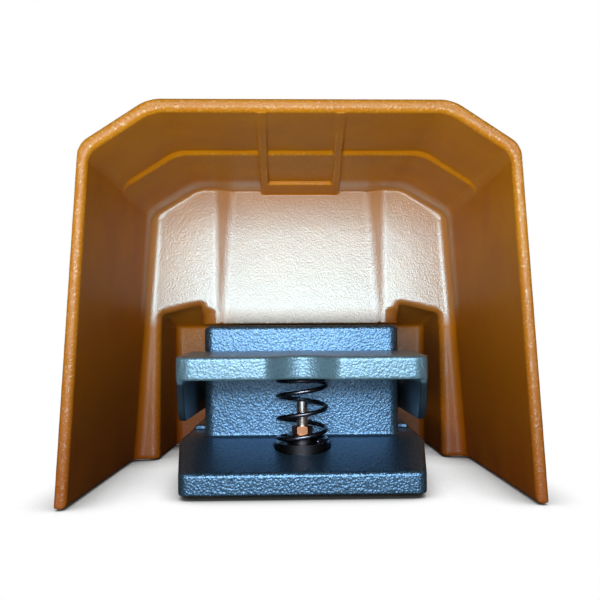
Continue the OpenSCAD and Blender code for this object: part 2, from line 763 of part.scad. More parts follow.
module pedal() {
    color(paint_blue) placed() difference() {
        pedal_solid();
        // soft front edge, cut as a bevel that follows the slope
        translate([0, pedal_at, pedal_z]) rotate([45 + pedal_slope, 0, 0])
            cube([pedal_w + 2, 1.7, 1.7], center = true);
        translate([0, pivot_at, pivot_z]) {
            bar_x(-hub_end - 1, hub_end + 1, shaft_d / 2 + seat);
            mirror_copy() translate([pedal_w / 2 + hub_l / 2, 0, 0])
                cylinder(h = hub_d + 10, d = pin_d + 2 * seat, center = true);
        }
        translate([-cheek_in, pedal_end, cheek_z - 1]) cube([2 * cheek_in, 60, 60]);
    }
}

// ---- Spring, its seat and the stop ----

// Height of the spring's wire after t turns: closed ends and open turns between them
function coil_z(t, h) =
    let (closed = 0.8, free = h - wire_d, flat = wire_d * 0.55)
    t < closed ? flat * t / closed
    : t > closed + open_turns ? free - flat * (1 - (t - closed - open_turns) / closed)
    : flat + (free - 2 * flat) * (t - closed) / open_turns;

// Sweeps a round wire along the coil
module coil(h) {
    steps = 22;
    ring = 8;
    turns = open_turns + 1.6;
    n = ceil(turns * steps);
    mean_r = seat_r - wire_d / 2;
    points = [for (i = [0:n]) let (t = turns * i / n, a = 360 * t - 54)
        for (k = [0:ring - 1]) let (b = 360 * k / ring, r = mean_r + wire_d / 2 * cos(b))
        [r * cos(a), r * sin(a), wire_d / 2 + coil_z(t, h) + wire_d / 2 * sin(b)]];
    sides = [for (i = [0:n - 1], k = [0:ring - 1]) let (j = (k + 1) % ring)
        [i * ring + k, i * ring + j, (i + 1) * ring + j, (i + 1) * ring + k]];
    caps = [[for (k = [ring - 1:-1:0]) k], [for (k = [0:ring - 1]) n * ring + k]];
    polyhedron(points, concat(sides, caps));
}

module return_spring() {
    color(steel_dark) placed() translate([0, spring_at, spring_z + 0.15]) coil(head_z - spring_z - 0.3);
}

module spring_seat() {
    color(steel_dark) placed() translate([0, spring_at, pocket_z]) difference() {
        union() {
            cylinder(h = seat_t, r = seat_r + 0.4);
            cylinder(h = seat_t + collar_h, r = 7);
        }
        translate([0, 0, -1]) cylinder(h = 20, d = bolt_d + 0.4);
    }
}

module stop_bolt() {
    color(steel_bright) placed() translate([0, spring_at, foot_gap + 4.5]) difference() {
        union() {
            cylinder(h = stop_end - foot_gap - 5.3, d = bolt_d);
            translate([0, 0, stop_end - foot_gap - 5.3 - eps]) cylinder(h = 0.8, d1 = bolt_d, d2 = bolt_d - 1.6);
        }
        translate([0, 0, stop_end - foot_gap - 7]) cube([bolt_d + 1, 0.9, 3], center = true);
    }
}

module stop_nut() {
    color(bronze) placed() translate([0, spring_at, nut_z]) difference() {
        intersection() {
            hex_bar(nut_flats, nut_t);
            cylinder(h = nut_t, r1 = nut_flats / 2 + 0.1, r2 = nut_flats / 2 + 3);
            cylinder(h = nut_t, r1 = nut_flats / 2 + 3, r2 = nut_flats / 2 + 0.1);
        }
        translate([0, 0, -1]) cylinder(h = nut_t + 2, d = bolt_d + 2 * seat);
    }
}

// ---- Switch and its mounting ----

module cam_lever() {
    hub_r = 10;
    low = plunger_z - 4;
    color(steel_bright) placed() difference() {
        union() {
            translate([0, pivot_at, pivot_z]) bar_x(-8, 8, hub_r);
            along_x(-6, 6) {
                translate([pivot_at - cam_half, low + 3]) square([2 * cam_half, pivot_z - low - 3]);
                round_rect(pivot_at - cam_half, pivot_at + cam_half, low, low + 8, 2.5);
            }
        }
        translate([0, pivot_at, pivot_z]) {
            bar_x(-9, 9, shaft_d / 2 + seat);
            cylinder(h = 20, d = 5 + 2 * seat);
        }
    }
}

// Grub screw that locks the cam to its shaft
module cam_screw() {
    color(steel_dark) placed() translate([0, pivot_at, pivot_z + shaft_d / 2 + 0.1]) difference() {
        cylinder(h = 6, d = 5);
        translate([0, 0, 3.5]) hex_bar(2.5, 4);
    }
}

module switch_case() {
    half = switch_w / 2;
    color(plastic_black) placed() difference() {
        union() {
            translate([0, 0, case_low]) linear_extrude(switch_t)
                round_rect(-half, half, case_at, case_at + switch_l, 1.5);
            translate([0, 0, plunger_z]) bar_y(case_at - 1.5, case_at + 1, plunger_d / 2 + 2);
            // barriers between the terminals
            for (x = [-half, -half / 3, half / 3, half]) translate([x - 1, case_at + switch_l - 1, case_low])
                intersection() {
                    cube([2, 6, switch_t * 0.7]);
                    translate([-x + 1 - half, 0, 0]) cube([switch_w, 6, switch_t]);
                }
        }
        translate([0, 0, plunger_z]) bar_y(case_at - 3, case_at + plunger_in + 5.5, plunger_d / 2 + slip);
        for (x = [-hole_x, hole_x]) translate([x, post_y + 4, case_low - 1]) cylinder(h = 30, d = 4.2);
        for (i = [-1, 0, 1]) translate([i * switch_w / 3 - 4, case_at + switch_l - 3, plunger_z - 1])
            cube([8, 5, 1.2]);
    }
}

module switch_plunger() {
    tip_r = plunger_d / 2;
    color([0.75, 0.20, 0.16]) placed() translate([0, cam_face + air, plunger_z]) rotate([-90, 0, 0]) rotate_extrude()
        difference() {
            translate([0, 0]) square([tip_r, plunger_out + plunger_in]);
            difference() {
                translate([0, -1]) square([tip_r + 1, 1 + tip_r]);
                translate([0, tip_r]) circle(r = tip_r);
            }
        }
}

module switch_terminals() {
    color(brass) placed() for (i = [-1, 0, 1])
        translate([i * switch_w / 3, case_at + switch_l - 3, plunger_z - 1]) difference() {
            translate([-4, 0, 0]) cube([8, 10, 1.2]);
            translate([0, 6.4, -1]) cylinder(h = 4, d = 3.4);
        }
}

module terminal_screws() {
    color(brass) placed() for (i = [-1, 0, 1])
        translate([i * switch_w / 3, case_at + switch_l + 3.4, plunger_z - 1]) rotate([180, 0, 0])
            pan_screw(3.3, 5, 6, 2.2, 0.8);
}

module switch_bracket() {
    color(steel_bright) placed() translate([0, 0, case_top]) linear_extrude(bracket_t) difference() {
        round_rect(-post_x - 5, post_x + 5, case_at + 1, case_at + switch_l - 1, 3);
        for (x = [-post_x, post_x]) translate([x, post_y]) circle(d = 4.4);
        for (x = [-hole_x, hole_x]) translate([x, post_y + 4]) circle(d = 4.2);
    }
}

module bracket_screws() {
    color(steel_bright) placed() for (x = [-post_x, post_x])
        translate([x, post_y, case_top]) rotate([180, 0, 0]) pan_screw(4, bracket_t + 8, 7.4, 2.6, 1);
}

module switch_screws() {
    color(steel_bright) placed() for (x = [-hole_x, hole_x])
        translate([x, post_y + 4, case_low]) rotate([180, 0, 0])
            pan_screw(4, switch_t + bracket_t + 4.5, 7.4, 2.6, 1);
}

module switch_nuts() {
    color(steel_bright) placed() for (x = [-hole_x, hole_x])
        translate([x, post_y + 4, bracket_top]) difference() {
            hex_bar(7, 3.2);
            translate([0, 0, -1]) cylinder(h = 6, d = 4 + 2 * seat);
        }
}

module earth_screw() {
    color(brass) placed() translate([earth_pos.x, earth_pos.y, earth_post_z - 1])
        rotate([180, 0, 0]) pan_screw(5, 9, 9, 3, 1.2);
}

module earth_washer() {
    color(brass) placed() translate([earth_pos.x, earth_pos.y, earth_post_z - 1]) difference() {
        cylinder(h = 1, d = 11);
        translate([0, 0, -1]) cylinder(h = 3, d = 5.3);
    }
}

// ---- Cable gland ----

module gland_washer() {
    color(rubber_black) placed() translate([0, 0, entry_z]) difference() {
        bar_y(boss_end, boss_end + washer_t, gland_flats / 2);
        bar_y(boss_end - 1, boss_end + 3, entry_d / 2 + 0.2);
    }
}

module gland_body() {
    start = boss_end + washer_t;
    color(brass) placed() translate([0, 0, entry_z]) difference() {
        union() {
            bar_y(boss_end - 11, start + eps, entry_d / 2);
            translate([0, start, 0]) rotate([-90, 0, 0]) hex_bar(gland_flats, flange_t);
            bar_y(start + flange_t - eps, start + flange_t + 9, gland_flats / 2 - 3);
        }
        bar_y(0, overall_l, cable_d / 2 + 1);
        bar_y(start + flange_t - 1, overall_l, cable_d / 2 + 3);
    }
}

module gland_seal() {
    start = boss_end + washer_t + flange_t - 1;
    color(rubber_black) placed() translate([0, 0, entry_z]) difference() {
        bar_y(start, start + 12, cable_d / 2 + 3 - seat);
        bar_y(start - 1, start + 13, cable_d / 2);
    }
}

module gland_nut() {
    start = boss_end + washer_t + flange_t;
    color(brass) placed() translate([0, 0, entry_z]) difference() {
        union() {
            translate([0, start + 0.4, 0]) rotate([-90, 0, 0]) hex_bar(gland_flats, 9);
            translate([0, start + 9.4 - eps, 0]) rotate([-90, 0, 0])
                cylinder(h = cap_l - 9.4, r1 = gland_flats / 2 - 0.5, r2 = gland_flats / 2 - 3.5);
        }
        bar_y(start - 1, start + 9.4, gland_flats / 2 - 3 + slip);
        bar_y(start - 1, start + 11.6, cable_d / 2 + 3 + seat);
        bar_y(start, overall_l + 1, cable_d / 2 + 0.6);
    }
}

base_casting();
bottom_cover();
cover_gasket();
cover_screws();
rubber_feet();
hood();
hood_screws();
hood_washers();
shaft_bushes();
shaft_seals();
stop_bolt();
stop_nut();
spring_seat();
return_spring();
pedal();
pivot_shaft();
shaft_pins();
cam_lever();
cam_screw();
switch_case();
switch_plunger();
switch_terminals();
terminal_screws();
switch_bracket();
bracket_screws();
switch_screws();
switch_nuts();
earth_screw();
earth_washer();
gland_washer();
gland_body();
gland_seal();
gland_nut();
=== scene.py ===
"""Looks of a guarded industrial foot switch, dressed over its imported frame.

Lengths in the sub-assemblies are millimetres, with depths counted from the front rim of the hood.
Meshes are written in metres, in the frame's own axes: X across, Y from the foot opening to the
cable entry, Z up from the floor.
"""

from __future__ import annotations

import json
import logging
import math
from dataclasses import dataclass
from enum import Enum
from functools import cached_property
from typing import Any, Callable

import bpy
import numpy as np
from mathutils import Matrix, Vector


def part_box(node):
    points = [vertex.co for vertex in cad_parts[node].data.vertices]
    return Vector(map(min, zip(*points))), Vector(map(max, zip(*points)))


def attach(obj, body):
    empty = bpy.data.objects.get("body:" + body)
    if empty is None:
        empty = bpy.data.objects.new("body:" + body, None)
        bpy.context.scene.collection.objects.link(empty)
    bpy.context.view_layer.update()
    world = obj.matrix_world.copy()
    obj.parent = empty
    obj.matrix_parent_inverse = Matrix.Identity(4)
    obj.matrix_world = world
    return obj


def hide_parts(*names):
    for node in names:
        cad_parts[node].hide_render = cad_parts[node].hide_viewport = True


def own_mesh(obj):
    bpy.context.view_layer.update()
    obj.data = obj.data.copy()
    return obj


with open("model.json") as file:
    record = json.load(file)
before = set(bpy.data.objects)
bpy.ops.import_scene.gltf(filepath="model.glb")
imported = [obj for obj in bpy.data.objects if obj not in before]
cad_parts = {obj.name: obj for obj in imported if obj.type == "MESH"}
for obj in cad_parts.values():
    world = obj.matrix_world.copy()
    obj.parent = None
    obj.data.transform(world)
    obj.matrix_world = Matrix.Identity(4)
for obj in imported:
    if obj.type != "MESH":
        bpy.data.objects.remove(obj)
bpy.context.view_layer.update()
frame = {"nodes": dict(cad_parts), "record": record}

LOG = logging.getLogger("foot_switch")
MM = 0.001
TINY = 1e-9
WHITE = (1.0, 1.0, 1.0, 1.0)
NOISE_MEAN = 0.5
# moving a net onto its surface: passes, half width of the slope's difference, least squared slope
SETTLE_PASSES = 4
SETTLE_PROBE = 0.02
LEAST_STEEP = 0.05

Array = np.ndarray
Band = tuple[float, float]
Point = tuple[float, float, float]
Colour = tuple[float, float, float]
Stops = tuple[float, ...]
Solid = Callable[[Array, Array, Array], Array]


class Body(Enum):
    """The moving bodies of the frame that pieces ride on."""

    BASE = "base"
    PEDAL = "pedal"


# ---- Rounded solids ----


def cut(a: Array, b: Array, r: Array | float = 0.0) -> Array:
    """Keep what two solids share, and round the edge between them.

    Where both distances lie within r of the surface, the result is the distance to a cylinder of
    radius r that touches both: min(-r, max(a, b)) plus the length of (a + r, b + r), each at least 0.

    Args:
        a: Distance to the first solid, negative inside.
        b: Distance to the second solid.
        r: Radius of the rounded edge.

    Returns:
        Distance to the shared solid.
    """
    return np.minimum(-r, np.maximum(a, b)) + np.hypot(np.maximum(a + r, 0), np.maximum(b + r, 0))


def join(a: Array, b: Array, r: Array | float = 0.0) -> Array:
    """Weld two solids with a fillet of radius r, the mirror image of cut.

    Args:
        a: Distance to the first solid, negative inside.
        b: Distance to the second solid.
        r: Radius of the fillet.

    Returns:
        Distance to the welded solid.
    """
    return np.maximum(r, np.minimum(a, b)) - np.hypot(np.maximum(r - a, 0), np.maximum(r - b, 0))


def ease(t: Array) -> Array:
    """Rise smoothly from 0 to 1 as t goes from 0 to 1: 3 t squared less 2 t cubed."""
    t = np.clip(t, 0, 1)
    return t * t * (3 - 2 * t)


def line(a: Array, b: Array, start: tuple[float, float], end: tuple[float, float]) -> Array:
    """Signed distance to the line from start to end in the plane of a and b.

    It is the cross product with the line's unit direction, positive on the left of the direction.

    Args:
        a: First coordinate of the points.
        b: Second coordinate of the points.
        start: A point on the line.
        end: A further point on it.

    Returns:
        The signed distances.
    """
    u, v = end[0] - start[0], end[1] - start[1]
    return (u * (b - start[1]) - v * (a - start[0])) / math.hypot(u, v)


def block(a: Array, low: float, high: float) -> Array:
    """Distance to the slab between two values: the larger of low - a and a - high."""
    return np.maximum(low - a, a - high)


def rod(a: Array, b: Array, centre: tuple[float, float], r: float) -> Array:
    """Distance to a round bar: the distance from its centre line, less r."""
    return np.hypot(a - centre[0], b - centre[1]) - r


def ticks(*stops: float) -> Array:
    """Grid values from alternating stops and steps: start, step, stop, step, stop and so on.

    Args:
        *stops: The first value, then a spacing and the value up to which it holds, repeated.

    Returns:
        The rising grid values.
    """
    spans = [
        np.linspace(a, b, max(2, round((b - a) / step) + 1))[:-1]
        for a, step, b in zip(stops[::2], stops[1::2], stops[2::2])
    ]
    return np.append(np.concatenate(spans), stops[-1])


def even(values: Array) -> Array:
    """Mirror grid values that start at 0 to the negative side: -a, then a without its first value."""
    return np.concatenate([-values[:0:-1], values])


def slope_of(solid: Solid, p: Array, h: float) -> Array:
    """Gradient of a solid's distance at points, from central differences of width h.

    Args:
        solid: The distance function.
        p: Points, one per row.
        h: Half width of the difference.

    Returns:
        The gradients, one per row.
    """
    sides = []
    for axis in range(3):
        step = np.zeros(3)
        step[axis] = h
        sides.append((solid(*(p + step).T) - solid(*(p - step).T)) / (2 * h))
    return np.stack(sides, axis=1)


def skin(solid: Solid, xs: Array, ys: Array, zs: Array) -> tuple[Array, Array]:
    """Wrap a solid in a closed net of four-sided faces.

    Each cell of the grid that the surface crosses gets one vertex, the mean of the points where the
    surface crosses the cell's edges. Each grid edge that is crossed gets one face between its four
    cells. The vertices are then moved down the gradient onto the surface itself.

    Args:
        solid: The distance function, negative inside.
        xs: Rising grid values across.
        ys: Rising grid values along the depth.
        zs: Rising grid values upwards.

    Returns:
        The vertices, one per row, and the faces as rows of four vertex numbers.
    """
    axes = (xs, ys, zs)
    value = solid(*np.meshgrid(*axes, indexing="ij"))
    shape = np.array(value.shape)
    count = np.zeros(shape - 1)
    total = np.zeros((3, *(shape - 1)))
    crossed = []
    for axis in range(3):
        low = value.take(range(shape[axis] - 1), axis)
        high = value.take(range(1, shape[axis]), axis)
        hit = (low < 0) != (high < 0)
        crossed.append((hit, low < 0))
        share = np.where(hit, low / np.where(hit, low - high, 1), 0)
        others = [o for o in range(3) if o != axis]
        place = [np.reshape(v, [-1 if k == n else 1 for k in range(3)]) for n, v in enumerate(axes)]
        along = place[axis].take(range(shape[axis] - 1), axis) + share * np.reshape(
            np.diff(axes[axis]), [-1 if k == axis else 1 for k in range(3)]
        )
        for step in ((0, 0), (0, 1), (1, 0), (1, 1)):
            window = [slice(None)] * 3
            for o, s in zip(others, step):
                window[o] = slice(s, shape[o] - 1 + s)
            seen = hit[tuple(window)]
            count += seen
            total[axis] += np.where(seen, along[tuple(window)], 0)
            for o, s in zip(others, step):
                total[o] += seen * place[o].take(range(s, shape[o] - 1 + s), o)
    live = count > 0
    number = np.cumsum(live.ravel()).reshape(live.shape) - 1
    points = np.stack([t[live] / count[live] for t in total], axis=1)
    faces = []
    for axis, (hit, inside) in enumerate(crossed):
        b, c = (axis + 1) % 3, (axis + 2) % 3
        spots = np.argwhere(hit)
        spots = spots[
            (spots[:, b] > 0) & (spots[:, c] > 0)
            & (spots[:, b] < shape[b] - 1) & (spots[:, c] < shape[c] - 1)
        ]
        ring = []
        for db, dc in ((-1, -1), (0, -1), (0, 0), (-1, 0)):
            cell = spots.copy()
            cell[:, b] += db
            cell[:, c] += dc
            ring.append(number[tuple(cell.T)])
        quad = np.stack(ring, axis=1)
        outward = inside[tuple(spots.T)]
        faces.append(np.where(outward[:, None], quad, quad[:, ::-1]))
    return settle(solid, points, min(np.diff(v).min() for v in axes)), np.concatenate(faces)


def settle(solid: Solid, points: Array, reach: float) -> Array:
    """Move points down the gradient onto a solid's surface.

    Each pass moves a point by the distance over the squared slope, along the slope.

    Args:
        solid: The distance function.
        points: Points near the surface, one per row.
        reach: The longest move in one pass.

    Returns:
        The moved points.
    """
    for _ in range(SETTLE_PASSES):
        slope = slope_of(solid, points, SETTLE_PROBE)
        steep = np.maximum((slope**2).sum(1), LEAST_STEEP)
        move = slope * (solid(*points.T) / steep)[:, None]
        size = np.linalg.norm(move, axis=1, keepdims=True)
        points = points - move * np.minimum(1, reach / np.maximum(size, TINY))
    return points


def tube_faces(rows: int, columns: int) -> Array:
    """Faces of a tube whose vertices stand in rows, each row a closed ring.

    Args:
        rows: Number of rings.
        columns: Number of vertices in a ring.

    Returns:
        Rows of four vertex numbers.
    """
    i, j = np.meshgrid(np.arange(rows - 1), np.arange(columns), indexing="ij")
    m = (j + 1) % columns
    quads = [i * columns + m, (i + 1) * columns + m, (i + 1) * columns + j, i * columns + j]
    return np.stack(quads, -1).reshape(-1, 4)


# ---- Finishes ----


class Wire:
    """A number inside a shader. Arithmetic on it adds Math nodes."""

    def __init__(self, recipe: Recipe, socket: bpy.types.NodeSocket) -> None:
        """Hold the socket and the recipe it belongs to."""
        self.recipe = recipe
        self.socket = socket

    def _math(self, operation: str, *values: Any, clamp: bool = False) -> Wire:
        """Add one Math node on the given values."""
        settings = {"operation": operation, "use_clamp": clamp}
        return self.recipe.add("ShaderNodeMath", settings, dict(enumerate(values)))

    def __add__(self, other: Any) -> Wire:
        """Sum."""
        return self._math("ADD", self, other)

    __radd__ = __add__

    def __mul__(self, other: Any) -> Wire:
        """Product."""
        return self._math("MULTIPLY", self, other)

    __rmul__ = __mul__

    def __sub__(self, other: Any) -> Wire:
        """Difference."""
        return self._math("SUBTRACT", self, other)

    def __rsub__(self, other: Any) -> Wire:
        """Difference, the other way round."""
        return self._math("SUBTRACT", other, self)

    def window(self, low: float, high: float) -> Wire:
        """Rise from 0 at low to 1 at high, and hold there."""
        return self._math("MULTIPLY", self - low, 1 / (high - low), clamp=True)


class Recipe:
    """A node tree under construction."""

    def __init__(self, tree: bpy.types.NodeTree) -> None:
        """Empty the node tree of a material or a world."""
        self.tree = tree
        self.tree.nodes.clear()

    @cached_property
    def place(self) -> Wire:
        """The surface's own coordinates, in metres."""
        return self.add("ShaderNodeTexCoord", {}, {}, "Object")

    def add(
        self, kind: str, settings: dict[str, Any], values: dict[Any, Any], output: Any = 0
    ) -> Wire:
        """Add a node.

        Args:
            kind: The node's type.
            settings: Its properties, set before its sockets.
            values: Its sockets by name or number, each a Wire or a constant.
            output: The output that is wanted, by name or number.

        Returns:
            The wanted output.
        """
        node = self.tree.nodes.new(kind)
        for name, value in settings.items():
            setattr(node, name, value)
        for name, value in values.items():
            if isinstance(value, Wire):
                self.tree.links.new(value.socket, node.inputs[name])
            else:
                node.inputs[name].default_value = value
        return Wire(self, node.outputs[output])

    def blend(self, factor: Any, a: Any, b: Any) -> Wire:
        """Colour between a and b by a factor."""
        wanted = {"data_type": "RGBA", "clamp_factor": True}
        return self.add("ShaderNodeMix", wanted, {0: factor, 6: a, 7: b}, 2)

    def noise(self, per_metre: float, detail: float = 2, rough: float = 0.5) -> Wire:
        """Cloudy noise with so many features to the metre."""
        values = {"Vector": self.place, "Scale": per_metre, "Detail": detail, "Roughness": rough}
        return self.add("ShaderNodeTexNoise", {}, values, "Fac")

    def cells(self, per_metre: float, soft: float) -> Wire:
        """Smooth cells with so many to the metre."""
        values = {"Vector": self.place, "Scale": per_metre, "Smoothness": soft}
        return self.add("ShaderNodeTexVoronoi", {"feature": "SMOOTH_F1"}, values, "Distance")

    def along(self, axis: str) -> Wire:
        """Place along one axis of the frame, in metres."""
        return self.add("ShaderNodeSeparateXYZ", {}, {"Vector": self.place}, axis)

    def mark(self, name: str) -> Wire:
        """A value that the mesh's maker stored at its vertices, or 0 where there is none."""
        return self.add("ShaderNodeAttribute", {"attribute_name": name}, {}, "Fac")

    def relief(self, height: Wire, depth: float, under: Wire | None = None) -> Wire:
        """Bump from a height map.

        Args:
            height: The height, from 0 to 1.
            depth: How far 1 stands above 0, in metres.
            under: A wider bump that it lies on.

        Returns:
            The bent surface direction.
        """
        values: dict[str, Any] = {"Height": height, "Distance": depth, "Strength": 1.0}
        if under:
            values["Normal"] = under
        return self.add("ShaderNodeBump", {}, values, "Normal")

    def paint(self, values: dict[str, Any]) -> Wire:
        """A Principled shader on the given sockets."""
        return self.add("ShaderNodeBsdfPrincipled", {}, values, "BSDF")

    def mix(self, factor: Wire, a: Wire, b: Wire) -> Wire:
        """Shader between a and b by a factor."""
        return self.add("ShaderNodeMixShader", {}, {0: factor, 1: a, 2: b}, "Shader")

    def close(self, shader: Wire, kind: str = "ShaderNodeOutputMaterial") -> None:
        """Send a shader to the tree's output."""
        node = self.tree.nodes.new(kind)
        self.tree.links.new(shader.socket, node.inputs["Surface"])


def rgba(colour: Colour) -> tuple[float, float, float, float]:
    """The colour with full opacity."""
    return (*colour, 1.0)


def new_material(name: str) -> tuple[bpy.types.Material, Recipe]:
    """Start a material.

    Args:
        name: The material's name.

    Returns:
        The material and the recipe of its node tree.
    """
    material = bpy.data.materials.new(name)
    material.use_nodes = True
    return material, Recipe(material.node_tree)


@dataclass(frozen=True)
class Enamel:
    """Paint sprayed over a cast surface: a dull coloured body under a pebbled, even gloss."""

    name: str = "orange_enamel"
    colour: Colour = (0.63, 0.252, 0.002)
    shade: Colour = (0.56, 0.205, 0.0015)
    # Partly wear and partly a painted highlight: the pale colour of outward edges and their chips.
    edge_highlight_and_wear: Colour = (0.82, 0.47, 0.07)
    clear: Colour = (0.69, 0.93, 1.0)
    # Painted shade: the dark red that the body turns towards near the floor.
    film_and_painted_shade: Colour = (0.22, 0.042, 0.002)
    peel_per_metre: float = 1050
    peel_depth: float = 0.00019
    sag_per_metre: float = 150
    sag_depth: float = 0.00012
    cloud_per_metre: float = 38
    cloud_band: Band = (0.35, 0.65)
    chip_per_metre: float = 1000
    chip_band: Band = (0.54, 0.64)
    rim_band: Band = (0.05, 0.5)
    rim_fade: float = 0.06
    chip_fade: float = 0.5
    chip_shine: float = 0.1
    low_shade_top: float = 0.11
    low_shade_least: float = 0.55
    low_shade_cloud: float = 0.6
    pool_depths: Band = (0.002, 0.013)
    pool_heights: Band = (0.072, 0.084)
    pooled: float = 0.255
    shine: float = 0.032
    gloss: float = 0.44
    gloss_swing: float = 0.1
    dull: float = 0.55
    dull_mirror: float = 0.04

    def material(self) -> bpy.types.Material:
        """Build the paint.

        The body is an orange that clouds a little. It turns pale on outward edges, partly wear and partly a
        painted highlight, and darker towards the floor, a painted shade. A clear film lies over it, thicker
        on the inner rear wall and in the edges' chips.

        Returns:
            The material.
        """
        material, r = new_material(self.name)
        peel = r.noise(self.peel_per_metre, detail=2.5, rough=0.55)
        wide = r.noise(self.cloud_per_metre, detail=3)
        chips = r.noise(self.chip_per_metre, detail=3, rough=0.6).window(*self.chip_band)
        rim = r.mark("edge").window(*self.rim_band)
        low = 1 - r.along("Z").window(0.0, self.low_shade_top)
        pool = r.along("Y").window(*self.pool_depths) * r.along("Z").window(*self.pool_heights)
        pool = pool * r.mark("inner")
        tone = r.blend(wide.window(*self.cloud_band), rgba(self.shade), rgba(self.colour))
        # Outward edges and their chips turn pale: partly wear, partly a painted highlight along the edges.
        tone = r.blend(rim * (self.rim_fade + chips * self.chip_fade), tone, rgba(self.edge_highlight_and_wear))
        # Painted shade: below the top height the body turns towards a dark red, with a cloudy strength.
        tone = r.blend(low * (self.low_shade_least + wide * self.low_shade_cloud), tone, rgba(self.film_and_painted_shade))
        normal = r.relief(peel, self.peel_depth, r.relief(r.noise(self.sag_per_metre), self.sag_depth))
        body = r.paint({
            "Base Color": tone,
            "Roughness": self.dull + (wide - NOISE_MEAN) * self.gloss_swing,
            "Specular IOR Level": self.dull_mirror,
            "Normal": normal,
        })
        film_and_painted_shade = r.paint({
            "Base Color": rgba(self.clear),
            "Metallic": 1.0,
            "Roughness": self.gloss + (peel - NOISE_MEAN) * self.gloss_swing,
            "Normal": normal,
        })
        share = self.shine + pool * self.pooled + rim * chips * self.chip_shine
        r.close(r.mix(share, body, film_and_painted_shade))
        return material


@dataclass(frozen=True)
class Hammered:
    """Pebbled metal-flake paint with pale grains and dark valleys."""

    name: str = "grey_blue_pebble"
    colour: Colour = (0.095, 0.19, 0.315)
    valley: Colour = (0.05, 0.115, 0.21)
    # Painted shade: the dark navy below the shade's top height.
    painted_under_shade: Colour = (0.006, 0.014, 0.03)
    grains_per_metre: float = 1000
    grain_depth: float = 0.00024
    grain_soft: float = 0.5
    grain_band: Band = (0.35, 0.75)
    fine_share: float = 0.2
    cloud_per_metre: float = 45
    cloud_band: Band = (0.4, 0.7)
    cloud_share: float = 0.25
    gloss: float = 0.4
    gloss_swing: float = 0.2
    metallic: float = 0.8
    coat: float = 0.15
    under_shade_top: float = 0.0
    under_shade_edge: Band = (0.0015, 0.0005)
    under_shade_least: float = 0.75
    under_shade_cloud: float = 0.4

    def material(self) -> bpy.types.Material:
        """Build the paint.

        The grains are smooth cells with a finer noise on them. Below the shade's top, if it has one,
        the paint turns towards a dark navy: a painted shade, cloudy in strength.

        Returns:
            The material.
        """
        material, r = new_material(self.name)
        grain = r.cells(self.grains_per_metre, self.grain_soft)
        fine = r.noise(self.grains_per_metre * 2.0, detail=1)
        wide = r.noise(self.cloud_per_metre, detail=3)
        height = (1 - grain) * (1 - self.fine_share) + fine * self.fine_share
        tone = r.blend(grain.window(*self.grain_band), rgba(self.colour), rgba(self.valley))
        tone = r.blend(wide.window(*self.cloud_band) * self.cloud_share, tone, rgba(self.valley))
        # Painted shade: below the top height the paint turns dark navy, with a cloudy strength.
        if self.under_shade_top:
            below, above = self.under_shade_edge
            under_shade_mask = 1 - r.along("Z").window(self.under_shade_top - below, self.under_shade_top + above)
            tone = r.blend(under_shade_mask * (self.under_shade_least + wide * self.under_shade_cloud), tone, rgba(self.painted_under_shade))
        r.close(r.paint({
            "Base Color": tone,
            "Metallic": self.metallic,
            "Roughness": self.gloss + (fine - NOISE_MEAN) * self.gloss_swing,
            "Coat Weight": self.coat,
            "Coat Roughness": self.coat,
            "Normal": r.relief(height, self.grain_depth),
        }))
        return material


@dataclass(frozen=True)
class Plated:
    """Bare or plated metal with turning marks, stains and small scratches."""

    name: str
    colour: Colour
    stain: Colour
    gloss: float = 0.28
    marks_per_metre: float = 2700
    mark_stretch: Point = (0.25, 0.25, 1.6)
    mark_depth: float = 0.00002
    mark_swing: float = 0.1
    cloud_per_metre: float = 270
    cloud_band: Band = (0.45, 0.75)
    stain_share: float = 0.7
    cloud_mean: float = 0.4
    cloud_swing: float = 0.3

    def material(self) -> bpy.types.Material:
        """Build the metal.

        The marks are a noise drawn out round the upright axis; the stains are a wide cloud.

        Returns:
            The material.
        """
        material, r = new_material(self.name)
        stretch = r.add("ShaderNodeMapping", {}, {"Vector": r.place, "Scale": self.mark_stretch}, "Vector")
        values = {"Vector": stretch, "Scale": self.marks_per_metre, "Detail": 2}
        marks = r.add("ShaderNodeTexNoise", {}, values, "Fac")
        cloud = r.noise(self.cloud_per_metre, detail=4, rough=0.6)
        stained = cloud.window(*self.cloud_band) * self.stain_share
        stains = (cloud - self.cloud_mean) * self.cloud_swing
        r.close(r.paint({
            "Base Color": r.blend(stained, rgba(self.colour), rgba(self.stain)),
            "Metallic": 1.0,
            "Roughness": self.gloss + stains + (marks - NOISE_MEAN) * self.mark_swing,
            "Normal": r.relief(marks, self.mark_depth),
        }))
        return material


@dataclass(frozen=True)
class Moulded:
    """Rubber or plastic with a fine moulded grain."""

    name: str
    colour: Colour
    gloss: float
    grain_per_metre: float = 1600
    grain_depth: float = 0.00003
    gloss_swing: float = 0.15
    dust_per_metre: float = 90
    dust_band: Band = (0.45, 0.8)
    dust_share: float = 0.5
    dust_gain: float = 1.6
    dust_lift: float = 0.02

    def material(self) -> bpy.types.Material:
        """Build the plastic, with a paler dust in clouds.

        Returns:
            The material.
        """
        material, r = new_material(self.name)
        grain = r.noise(self.grain_per_metre, detail=3, rough=0.6)
        dust = r.noise(self.dust_per_metre, detail=4, rough=0.6).window(*self.dust_band) * self.dust_share
        pale = tuple(min(1.0, c * self.dust_gain + self.dust_lift) for c in self.colour)
        r.close(r.paint({
            "Base Color": r.blend(dust, rgba(self.colour), rgba(pale)),
            "Roughness": self.gloss + (grain - NOISE_MEAN) * self.gloss_swing,
            "Normal": r.relief(grain, self.grain_depth),
        }))
        return material


